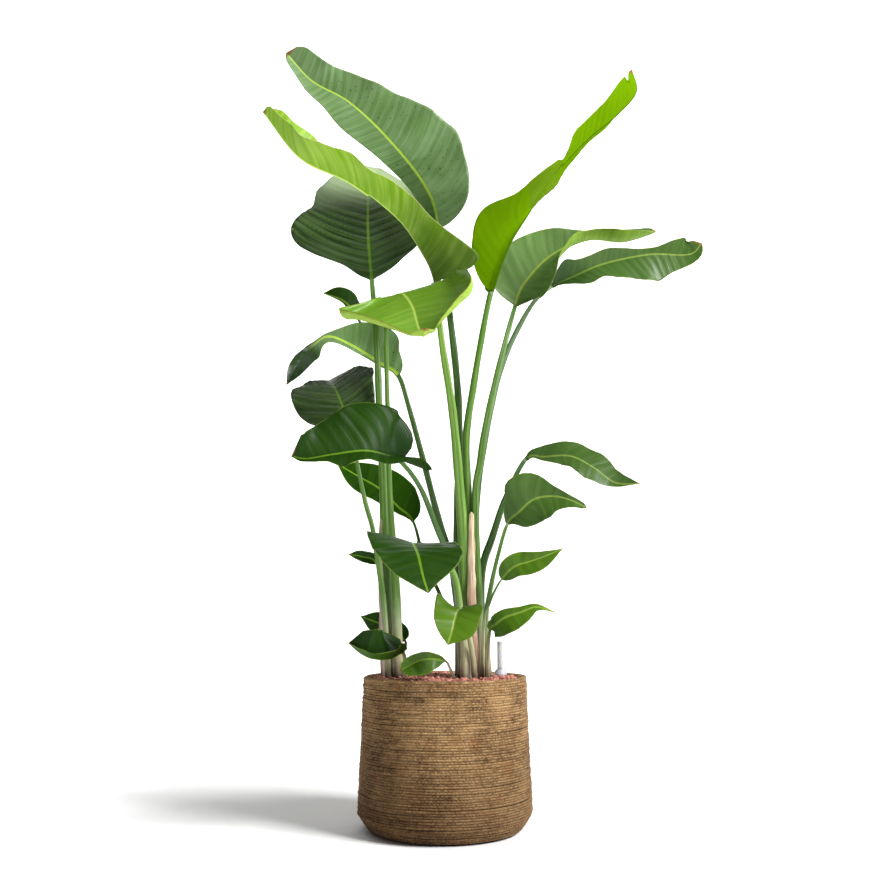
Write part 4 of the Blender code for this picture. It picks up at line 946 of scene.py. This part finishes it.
def build_tissue(nodes, given):
    """Leaf tissue: side veins, pleats with a painted highlight, midrib, margin, dry tip, spots and
    underside, with painted shade at the base and a tip colour that paints a highlight or shade on each
    blade.
    """
    along, across, under = nodes.attribute("leaf_place")
    share, edge, _ = nodes.attribute("leaf_share")
    seed = given["Seed"]
    x = nodes.math("ABSOLUTE", across)
    flat = nodes.vector(along, across, seed)
    drift = nodes.noise(flat, 14.0)

    # side veins and pleats lean toward the tip; bands and streaks follow them, and the pale bands on the
    # pleats are a painted highlight
    line = nodes.times_plus(x, -VEIN_SLANT, along)
    line = nodes.times_plus(nodes.times(x, x), -VEIN_BEND, line)
    line = nodes.times_plus(drift, 0.006, line)
    fine = nodes.stripes(nodes.math("DIVIDE", line, given["Vein Spacing"]), 0.2)
    pleats = nodes.stripes(nodes.math("DIVIDE", line, given["Pleat Spacing"]))
    streaks = nodes.noise(nodes.vector(nodes.times(line, 120.0), nodes.times(across, 6.0), seed),
                          1.0, 3.0, 0.6)
    bands = nodes.times(nodes.smooth(streaks, 0.42, 0.66), given["Bands"])
    bands = nodes.times_plus(nodes.times(pleats, given["Bands"]), 0.45, bands)
    bands = nodes.times_plus(nodes.smooth(drift, 0.35, 0.75), 0.30, bands)
    bands = nodes.times_plus(fine, 0.06, bands)
    upper = nodes.mix(nodes.math("MINIMUM", bands, 1.0), given["Blade"], given["Bands And Pleat Highlight Color"])
    lower = nodes.mix(nodes.times(bands, 0.3), given["Underside"], given["Rib"])
    colour = nodes.mix(under, upper, lower)

    # spots in patches, then the midrib and the margin
    spots = nodes.times(nodes.smooth(nodes.noise(flat, 150.0, 1.0), 0.66, 0.72),
                        nodes.smooth(nodes.noise(flat, 9.0, 1.0), 0.45, 0.60))
    colour = nodes.mix(nodes.times(spots, given["Spots"]), colour, LEAF_SPOT)
    rib_wide = nodes.times_plus(share, -0.0022, given["Rib Width"])
    rib = nodes.smooth(x, nodes.times(rib_wide, 0.55), rib_wide, 1.0, 0.0)
    rib_tone = nodes.times_plus(nodes.noise(nodes.vector(along, 0.0, seed), 60.0), 0.25, 0.78)
    colour = nodes.mix(nodes.times(rib, rib_tone), colour, given["Rib"])
    rim = nodes.smooth(edge, 0.0004, 0.0022, 1.0, 0.0)
    rim_tone = nodes.smooth(nodes.noise(nodes.vector(along, edge, seed), 22.0), 0.35, 0.55)
    colour = nodes.mix(nodes.times(rim, rim_tone), colour, given["Margin"])

    # painted shade darkens the base; the outer part takes a colour that paints a highlight on some
    # blades and shade on others, and the very tip takes a dry colour of its own
    start = nodes.smooth(nodes.times_plus(drift, 0.2, share), 0.08, 0.50, 1.0, 0.0)
    colour = nodes.mix(nodes.times(start, given["Base Shade"]), colour, PAINTED_BASE_SHADE)
    end = nodes.times(nodes.smooth(share, 0.45, 0.72), given["End Amount"])
    colour = nodes.mix(end, colour, given["Tip Highlight And Shade Color"])
    dry = nodes.times_plus(nodes.noise(flat, 40.0), 0.03, share)
    colour = nodes.mix(nodes.smooth(dry, 0.990, 1.010), colour, given["Dry Tip"])

    roughness = nodes.times_plus(nodes.noise(flat, 35.0, 3.0), 0.16, given["Gloss"])
    roughness = nodes.times_plus(under, 0.14, roughness)
    height = nodes.times_plus(streaks, 0.0009, nodes.times(fine, 0.00006))
    height = nodes.times_plus(pleats, given["Pleat Height"], height)
    return {"Base Color": colour, "Roughness": roughness, "Height": height}


def build_skin(nodes, given):
    """Stalk skin: colours from foot to top, streaks along it, painted shade in its channel, papery
    scraps and soil low down.
    """
    along, around, share = nodes.attribute("stalk_place")
    turn = nodes.times(around, 2 * math.pi)
    ring = (nodes.math("SINE", turn), nodes.math("COSINE", turn))
    streaks = nodes.noise(nodes.vector(nodes.times_plus(along, 4.0, given["Seed"]), *ring),
                          3.0, 4.0, 0.65)
    mottle = nodes.noise(nodes.vector(nodes.times_plus(along, 40.0, given["Seed"]), *ring), 1.5, 3.0)
    low = nodes.times_plus(mottle, 0.05, along)
    colour = nodes.mix(nodes.smooth(low, 0.05, 0.22), given["Foot"], given["Middle"])
    colour = nodes.mix(nodes.smooth(share, 0.45, 1.0), colour, given["Top"])
    colour = nodes.mix(nodes.smooth(streaks, 0.50, 0.68, 0.0, 0.75), colour, given["Streaks"])
    # painted shade in the channel along the top of the stalk
    channel = nodes.smooth(ring[1], 0.90, 1.0, 0.0, 0.35)
    colour = nodes.mix(channel, colour, PAINTED_CHANNEL_SHADE)
    rust = nodes.times(nodes.smooth(mottle, 0.60, 0.72), nodes.smooth(along, 0.02, 0.16, 1.0, 0.0))
    colour = nodes.mix(nodes.times(rust, given["Rust"]), colour, STALK_RUST)
    papery = nodes.times(nodes.smooth(streaks, 0.42, 0.60, 1.0, 0.0),
                         nodes.smooth(low, 0.06, 0.16, 0.7, 0.0))
    colour = nodes.mix(papery, colour, STALK_PAPER)
    soil = nodes.smooth(nodes.times_plus(mottle, 0.04, along), 0.020, 0.055, 0.75, 0.0)
    colour = nodes.mix(soil, colour, SOIL)
    return {"Base Color": colour, "Roughness": nodes.times_plus(streaks, 0.25, 0.30),
            "Height": nodes.times(streaks, 0.0009)}


def build_grain(nodes, given):
    """Fine grain of moulded plastic, with a slight change of tone."""
    place = nodes.place()
    grain = nodes.noise(place, given["Scale"], 3.0)
    wide = nodes.noise(place, 12.0)
    wear = nodes.times(wide, given["Variation"])
    return {"Base Color": nodes.mix(wear, given["Color"], given["Worn Color"]),
            "Roughness": nodes.times_plus(grain, 0.2, given["Base Roughness"]),
            "Height": nodes.times(grain, 0.0001)}


TISSUE_INPUTS = (
    ("Blade", "Color", (0.05, 0.15, 0.03)), ("Bands And Pleat Highlight Color", "Color", (0.1, 0.2, 0.05)),
    ("Rib", "Color", (0.4, 0.5, 0.1)), ("Margin", "Color", (0.3, 0.4, 0.1)),
    ("Underside", "Color", (0.12, 0.25, 0.06)), ("Dry Tip", "Color", (0.2, 0.1, 0.02)),
    ("Tip Highlight And Shade Color", "Color", (0.1, 0.1, 0.1)), ("End Amount", "Float", 0.0),
    ("Base Shade", "Float", 0.5), ("Spots", "Float", 0.0), ("Bands", "Float", 0.4),
    ("Seed", "Float", 0.0), ("Vein Spacing", "Float", 0.003), ("Pleat Spacing", "Float", 0.02),
    ("Pleat Height", "Float", 0.0004), ("Rib Width", "Float", 0.004), ("Gloss", "Float", 0.3))
SKIN_INPUTS = (
    ("Foot", "Color", (0.3, 0.4, 0.2)), ("Middle", "Color", (0.1, 0.2, 0.05)),
    ("Top", "Color", (0.1, 0.2, 0.05)), ("Streaks", "Color", (0.2, 0.4, 0.1)),
    ("Rust", "Float", 0.5), ("Seed", "Float", 0.0))
GRAIN_INPUTS = (
    ("Color", "Color", (0.1, 0.1, 0.1)), ("Worn Color", "Color", (0.2, 0.2, 0.2)),
    ("Variation", "Float", 0.8), ("Scale", "Float", 900.0), ("Base Roughness", "Float", 0.4))


class Finish(Nodes):
    """A material with one Principled shader. Names in constants are the shader's own inputs."""

    def __init__(self, name, constants=None):
        self.material = bpy.data.materials.new(name)
        self.material.use_nodes = True
        super().__init__(self.material.node_tree)
        self.shader = self.node("BsdfPrincipled", constants)
        self.node("OutputMaterial", {"Surface": self.shader.outputs[0]})

    def feed(self, values):
        """Feeds the shader's inputs, a height by way of its normal, and gives the material."""
        for label, value in values.items():
            if label == "Height":
                bump = self.node("Bump", {"Height": value, "Distance": 1.0, "Strength": 1.0})
                self.fill(self.shader.inputs["Normal"], bump.outputs[0])
            else:
                self.fill(self.shader.inputs[label], value)
        return self.material

    def feed_from(self, group, values):
        """Places a group with its own values and feeds the shader from it."""
        placed = self.node("Group", node_tree=group)
        for label, value in values.items():
            self.fill(placed.inputs[label], value)
        return self.feed({socket.name: socket for socket in placed.outputs})


def tissue_finish(name, spec, seed, settings):
    """The finish of one blade."""
    *tones, spots, bands, shine = LOOKS[spec["look"]]
    tones = [tuple(spec["shade"] * c for c in tone) for tone in tones]
    values = dict(zip(("Blade", "Bands And Pleat Highlight Color", "Rib", "Margin", "Underside"), tones))
    values |= {"Tip Highlight And Shade Color": spec["end"] or tones[0], "End Amount": 1.0 if spec["end"] else 0.0,
               "Base Shade": spec["dim"], "Dry Tip": settings.brown, "Spots": spots, "Bands": bands,
               "Seed": seed * 3.7, "Vein Spacing": settings.vein_spacing,
               "Pleat Spacing": settings.pleat_spacing, "Pleat Height": spec["pleat"] * 0.6,
               "Rib Width": 0.0022 + 0.45 * spec["radii"][-1], "Gloss": 0.30}
    group = shader_group("Leaf tissue", TISSUE_INPUTS, build_tissue)
    return Finish(name, {"Specular IOR Level": shine}).feed_from(group, values)


def skin_finish(name, spec, seed):
    """The finish of one stalk."""
    values = dict(zip(("Foot", "Middle", "Top", "Streaks"), SKINS[spec["skin"]]))
    values |= {"Rust": 0.6, "Seed": seed * 2.3}
    return Finish(name).feed_from(shader_group("Stalk skin", SKIN_INPUTS, build_skin), values)


def rope_finish(settings):
    """Twisted natural fibre: strands, fibres and patches of tone, and painted shade that darkens it
    toward the floor.
    """
    nodes = Finish("rope", {"Specular IOR Level": 0.2})
    run, around, _ = nodes.attribute("rope_place")
    place = nodes.place()
    phase = nodes.times_plus(run, 70.0, around)
    strands = nodes.stripes(nodes.times(phase, 2.0))
    fibres = nodes.noise(nodes.vector(nodes.times(phase, 3.0), nodes.times(run, 60.0), around),
                         2.4, 4.0, 0.7)
    flecks = nodes.noise(nodes.vector(nodes.times(run, 130.0), nodes.times(around, 2.5)), 1.0, 4.0, 0.8)
    lengths = nodes.noise(nodes.vector(nodes.times(run, 14.0)), 1.0, 4.0, 0.75)
    wide = nodes.noise(place, 9.0, 4.0, 0.6)
    tone = nodes.times_plus(strands, 0.15, nodes.times(fibres, 0.6))
    tone = nodes.times_plus(nodes.smooth(flecks, 0.36, 0.66), 0.55, tone)
    tone = nodes.times_plus(nodes.smooth(lengths, 0.34, 0.66), 0.40, tone)
    tone = nodes.times_plus(nodes.smooth(wide, 0.36, 0.64), 0.35, tone)
    colour = nodes.mix(nodes.smooth(tone, 0.35, 1.55), settings.rope_dark, settings.rope_light)
    rusty = nodes.smooth(nodes.noise(place, 30.0, 4.0), 0.52, 0.70, 0.0, 0.35)
    colour = nodes.mix(rusty, colour, settings.rope_rusty)
    # painted shade: the rope is darker toward the floor
    painted_low_shade = nodes.smooth(nodes.parts(place)["Z"], 0.0, 0.24, 0.60, 0.0)
    colour = nodes.mix(painted_low_shade, colour, settings.rope_dark)
    relief = nodes.times_plus(strands, 0.0006, nodes.times(fibres, 0.0020))
    return nodes.feed({"Base Color": colour, "Roughness": nodes.times_plus(fibres, 0.2, 0.75),
                       "Height": nodes.times_plus(flecks, 0.0016, relief)})


def granule_finish(name, settings):
    """Fired clay: pores, a tone of its own for each granule, and dust."""
    nodes = Finish(name)
    tone, warm, _ = nodes.attribute("granule_tone")
    place = nodes.place()
    pores = nodes.noise(place, 900.0, 4.0, 0.7)
    dust = nodes.noise(place, 260.0, 3.0)
    shade = nodes.times_plus(pores, 0.5, nodes.times(tone, 0.75))
    colour = nodes.mix(nodes.smooth(shade, 0.10, 1.05), settings.clay_dark, settings.clay_light)
    colour = nodes.mix(nodes.times(warm, 0.25), colour, CLAY_WARM)
    colour = nodes.mix(nodes.smooth(dust, 0.60, 0.72, 0.0, 0.5), colour, CLAY_DUST)
    return nodes.feed({"Base Color": colour, "Roughness": nodes.times_plus(pores, 0.2, 0.75),
                       "Height": nodes.times(pores, 0.0012)})


def sheath_finish(name, top, low, seed):
    """Dry husk: long fibres and pale patches over two tones."""
    nodes = Finish(name)
    along, across, _ = nodes.attribute("leaf_place")
    share = nodes.attribute("leaf_share")["X"]
    fibres = nodes.noise(nodes.vector(nodes.times(along, 12.0), nodes.times(across, 500.0), seed),
                         1.0, 4.0, 0.65)
    wide = nodes.noise(nodes.vector(nodes.times(along, 14.0), nodes.times(across, 90.0), seed),
                       1.0, 3.0)
    where = nodes.times_plus(nodes.math("SUBTRACT", wide, 0.5), 0.8, share)
    colour = nodes.mix(nodes.smooth(where, 0.25, 0.85), low, top)
    colour = nodes.mix(nodes.smooth(fibres, 0.46, 0.62, 0.0, 0.75), colour, HUSK_FIBRE)
    colour = nodes.mix(nodes.smooth(wide, 0.58, 0.72, 0.0, 0.6), colour, HUSK_PALE)
    return nodes.feed({"Base Color": colour, "Roughness": nodes.times_plus(fibres, 0.2, 0.62),
                       "Height": nodes.times(fibres, 0.0015)})


def root_finish(name, seed):
    """Brown fibres that run up the rootstock."""
    nodes = Finish(name)
    stretch = nodes.node("Mapping", {"Vector": nodes.place(), "Scale": (1.0, 1.0, 0.15),
                                     "Location": (seed, 0.0, 0.0)}).outputs[0]
    fibres = nodes.noise(stretch, 320.0, 5.0, 0.7)
    colour = nodes.mix(nodes.smooth(fibres, 0.35, 0.65), ROOT_DARK, ROOT_LIGHT)
    return nodes.feed({"Base Color": colour, "Roughness": nodes.times_plus(fibres, 0.2, 0.7),
                       "Height": nodes.times(fibres, 0.002)})


def plastic_finish(name, colour, worn, roughness, constants=None):
    """Moulded plastic with a fine grain."""
    group = shader_group("Fine grain", GRAIN_INPUTS, build_grain)
    return Finish(name, constants).feed_from(
        group, {"Color": colour, "Worn Color": worn, "Base Roughness": roughness})


def tube_finish(settings):
    """Clear plastic with evenly spaced marks."""
    nodes = Finish("gauge_tube", {"Roughness": 0.35, "IOR": 1.2})
    height = nodes.parts(nodes.place())["Z"]
    marks = nodes.times(nodes.math("SUBTRACT", height, TICK_START), 1 / TICK_SPACING)
    low, high = TICK_SPAN
    span = nodes.times(nodes.smooth(height, low, low + TICK_FADE),
                       nodes.smooth(height, high, high + TICK_FADE, 1.0, 0.0))
    marks = nodes.times(nodes.stripes(marks, 0.88), span)
    return nodes.feed({"Base Color": nodes.mix(marks, TUBE, settings.tick_colour),
                       "Alpha": nodes.times_plus(marks, 0.35, 0.50)})


def floor_finish(settings):
    """Pale floor that glows more with distance from the planter and toward the backdrop."""
    nodes = Finish("studio_floor", {"Roughness": 0.8, "Emission Color": (1, 1, 1)})
    place = nodes.place()
    far = nodes.node("VectorMath", {0: place}, operation="LENGTH").outputs["Value"]
    near = nodes.math("ADD", nodes.smooth(far, 0.45, 1.0, 0.0, 0.3),
                      nodes.smooth(far, 0.72, 1.15, 0.0, 0.5))
    behind = nodes.smooth(nodes.parts(place)["Y"], 0.3, 2.5, 0.0, 0.65)
    return nodes.feed({"Base Color": settings.floor_colour,
                       "Emission Strength": nodes.math("MAXIMUM", near, behind)})


def dress(node, material):
    """Gives a node of the part a new material in all its slots."""
    for slot in NODES[node].material_slots:
        slot.link = "DATA"
        slot.material = material
    if not NODES[node].material_slots:
        NODES[node].data.materials.append(material)


# ------------------------------------------------------------------------- stage

def add_floor(settings):
    """Floor that curves up into a bright backdrop far behind the plant."""
    reach, back, rise, bend, steps = 9.0, 7.0, 7.0, 2.5, 16
    profile = [(-reach, 0.0), (back - bend, 0.0)]
    for step in range(1, steps + 1):
        angle = math.pi / 2 * step / steps
        profile.append((back - bend + bend * math.sin(angle), bend * (1 - math.cos(angle))))
    profile.append((back, rise))
    points = [(x, y, z) for x in (-reach, reach) for y, z in profile]
    count = len(profile)
    faces = [(k, k + count, k + count + 1, k + 1) for k in range(count - 1)]
    new_piece("studio_floor", points, faces, {}, floor_finish(settings))


def add_light(name, place, aim, size, power):
    """A square soft light of the given size in metres and power in watts."""
    data = bpy.data.lights.new(name, "AREA")
    data.size = size
    data.energy = power
    light = bpy.data.objects.new(name, data)
    light.location = place
    light.rotation_euler = (Vector(aim) - Vector(place)).to_track_quat("-Z", "Y").to_euler()
    bpy.context.scene.collection.objects.link(light)


def add_lights(settings):
    """White surround that lights dimly, a strong soft light from the right and one overhead."""
    world = bpy.data.worlds.new("studio")
    world.use_nodes = True
    nodes = world.node_tree.nodes
    background = nodes["Background"].inputs
    background["Color"].default_value = (1.0, 1.0, 1.0, 1.0)
    sight = nodes.new("ShaderNodeLightPath")
    strength = nodes.new("ShaderNodeMapRange")
    strength.inputs["To Min"].default_value = settings.surround
    strength.inputs["To Max"].default_value = 1.0
    world.node_tree.links.new(sight.outputs["Is Camera Ray"], strength.inputs["Value"])
    world.node_tree.links.new(strength.outputs["Result"], background["Strength"])
    bpy.context.scene.world = world
    add_light("key", (5.5, -3.4, 5.5), (0.0, 0.0, 0.6), 2.6, settings.key_power)
    add_light("top", (-0.5, -0.3, 3.6), (0.0, 0.0, 0.9), 2.4, settings.top_power)


def add_camera(settings):
    """The camera in front of the planter, looking slightly up."""
    data = bpy.data.cameras.new("camera")
    data.sensor_fit = "HORIZONTAL"
    data.sensor_width = 36.0
    data.lens = settings.focal_length
    camera = bpy.data.objects.new("camera", data)
    camera.location = (0.0, -settings.camera_distance, settings.camera_height)
    camera.rotation_euler = (math.pi / 2 + settings.camera_pitch, 0.0, 0.0)
    bpy.context.scene.collection.objects.link(camera)
    bpy.context.scene.camera = camera


# --------------------------------------------------------------------- operators

class PieceOperator(bpy.types.Operator):
    """Shared settings of the operators that make pieces"""
    bl_options = {"REGISTER", "UNDO"}


class PLANT_OT_blades(PieceOperator):
    """Makes every leaf blade, with its pleats, wavy margins and midrib"""
    bl_idname = "plant.blades"
    bl_label = "Leaf blades"

    def execute(self, context):
        settings = context.scene.plant_leaves
        for number, (name, spec) in enumerate(LEAVES.items()):
            mesh = blade_mesh(spec, BLADE_SEED + number, settings)
            made = tissue_finish("leaf_" + name, spec, number, settings)
            stand_in("blade_" + name, "leaf_" + name, mesh, made)
        return {"FINISHED"}


class PLANT_OT_stalks(PieceOperator):
    """Makes every leaf stalk, channelled on its upper side"""
    bl_idname = "plant.stalks"
    bl_label = "Leaf stalks"

    def execute(self, context):
        settings = context.scene.plant_leaves
        for number, (name, spec) in enumerate(LEAVES.items()):
            mesh = stalk_mesh(spec, STALK_SEED + number, settings)
            made = skin_finish("stalk_" + name, spec, number)
            stand_in("petiole_" + name, "stalk_" + name, mesh, made)
        return {"FINISHED"}


class PLANT_OT_sheaths(PieceOperator):
    """Makes the dry sheaths that clasp the foot of the stalks"""
    bl_idname = "plant.sheaths"
    bl_label = "Dry sheaths"

    def execute(self, context):
        settings = context.scene.plant_leaves
        for number, (name, (points, half, top, low)) in enumerate(SHEATHS.items()):
            mesh = sheath_mesh(points, half, SHEATH_SEED + number, settings)
            stand_in("dry_" + name, name, mesh, sheath_finish(name, top, low, number))
        return {"FINISHED"}


class PLANT_OT_rope(PieceOperator):
    """Winds the rope round the planter and over its rim"""
    bl_idname = "plant.rope"
    bl_label = "Rope winding"

    def execute(self, context):
        settings = context.scene.plant_planter
        stand_in("wound_rope", "rope_winding", rope_mesh(settings), rope_finish(settings))
        return {"FINISHED"}


class PLANT_OT_planter(PieceOperator):
    """Finishes the planter's shell and the culture pot inside it"""
    bl_idname = "plant.planter"
    bl_label = "Planter shell"

    def execute(self, context):
        settings = context.scene.plant_planter
        dress("planter_shell", plastic_finish("planter_shell", settings.shell_colour,
                                              (0.07, 0.06, 0.05), 0.55))
        dress("culture_pot", plastic_finish("culture_pot", settings.pot_colour,
                                            (0.05, 0.05, 0.05), 0.4))
        return {"FINISHED"}


class PLANT_OT_granules(PieceOperator):
    """Spreads clay granules over the bed, and finishes the rootstocks that stand in it"""
    bl_idname = "plant.granules"
    bl_label = "Clay granules"

    def execute(self, context):
        settings = context.scene.plant_granules
        piece = new_piece("granule_layer", *granule_mesh(settings), granule_finish("granules", settings))
        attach(piece, "root")
        dress("clay_granules", granule_finish("granule_bed", settings))
        for number, name in enumerate(("rootstock_left", "rootstock_centre", "rootstock_front")):
            dress(name, root_finish(name, number))
        return {"FINISHED"}


class PLANT_OT_gauge(PieceOperator):
    """Finishes the water gauge and its float"""
    bl_idname = "plant.gauge"
    bl_label = "Water gauge"

    def execute(self, context):
        settings = context.scene.plant_gauge
        dress("gauge_housing", plastic_finish("gauge_housing", settings.housing_colour,
                                              (0.30, 0.32, 0.42), 0.35))
        dress("gauge_tube", tube_finish(settings))
        dress("gauge_cap", plastic_finish("gauge_cap", settings.cap_colour, (0.42, 0.44, 0.48),
                                          0.15, {"Alpha": 0.75}))
        dress("gauge_float", plastic_finish("gauge_float", settings.float_colour,
                                            (0.10, 0.01, 0.01), 0.3))
        return {"FINISHED"}


class PLANT_OT_stage(PieceOperator):
    """Sets the floor, the lights and the camera"""
    bl_idname = "plant.stage"
    bl_label = "Stage"

    def execute(self, context):
        settings = context.scene.plant_stage
        add_floor(settings)
        add_lights(settings)
        add_camera(settings)
        context.scene.view_settings.view_transform = "Standard"
        return {"FINISHED"}


OPERATORS = (PLANT_OT_stage, PLANT_OT_planter, PLANT_OT_rope, PLANT_OT_granules, PLANT_OT_gauge,
             PLANT_OT_stalks, PLANT_OT_sheaths, PLANT_OT_blades)
SETTINGS = {"plant_leaves": LeafSettings, "plant_planter": PlanterSettings,
            "plant_granules": GranuleSettings, "plant_gauge": GaugeSettings,
            "plant_stage": StageSettings}


class PLANT_PT_panel(bpy.types.Panel):
    """Lists the pieces of the plant and their settings"""
    bl_idname = "PLANT_PT_panel"
    bl_label = "Potted plant"
    bl_space_type = "VIEW_3D"
    bl_region_type = "UI"
    bl_category = "Plant"

    def draw(self, context):
        for operator in OPERATORS:
            self.layout.operator(operator.bl_idname)
        for label, group in SETTINGS.items():
            box = self.layout.box()
            for key in group.__annotations__:
                box.prop(getattr(context.scene, label), key)


def register():
    for made in (*SETTINGS.values(), *OPERATORS, PLANT_PT_panel):
        bpy.utils.register_class(made)
    for label, group in SETTINGS.items():
        setattr(bpy.types.Scene, label, PointerProperty(type=group))


def unregister():
    for label in SETTINGS:
        delattr(bpy.types.Scene, label)
    for made in (PLANT_PT_panel, *reversed(OPERATORS), *reversed(list(SETTINGS.values()))):
        bpy.utils.unregister_class(made)


def main():
    register()
    for operator in OPERATORS:
        group, name = operator.bl_idname.split(".")
        getattr(getattr(bpy.ops, group), name)()


if __name__ == "__main__":
    main()
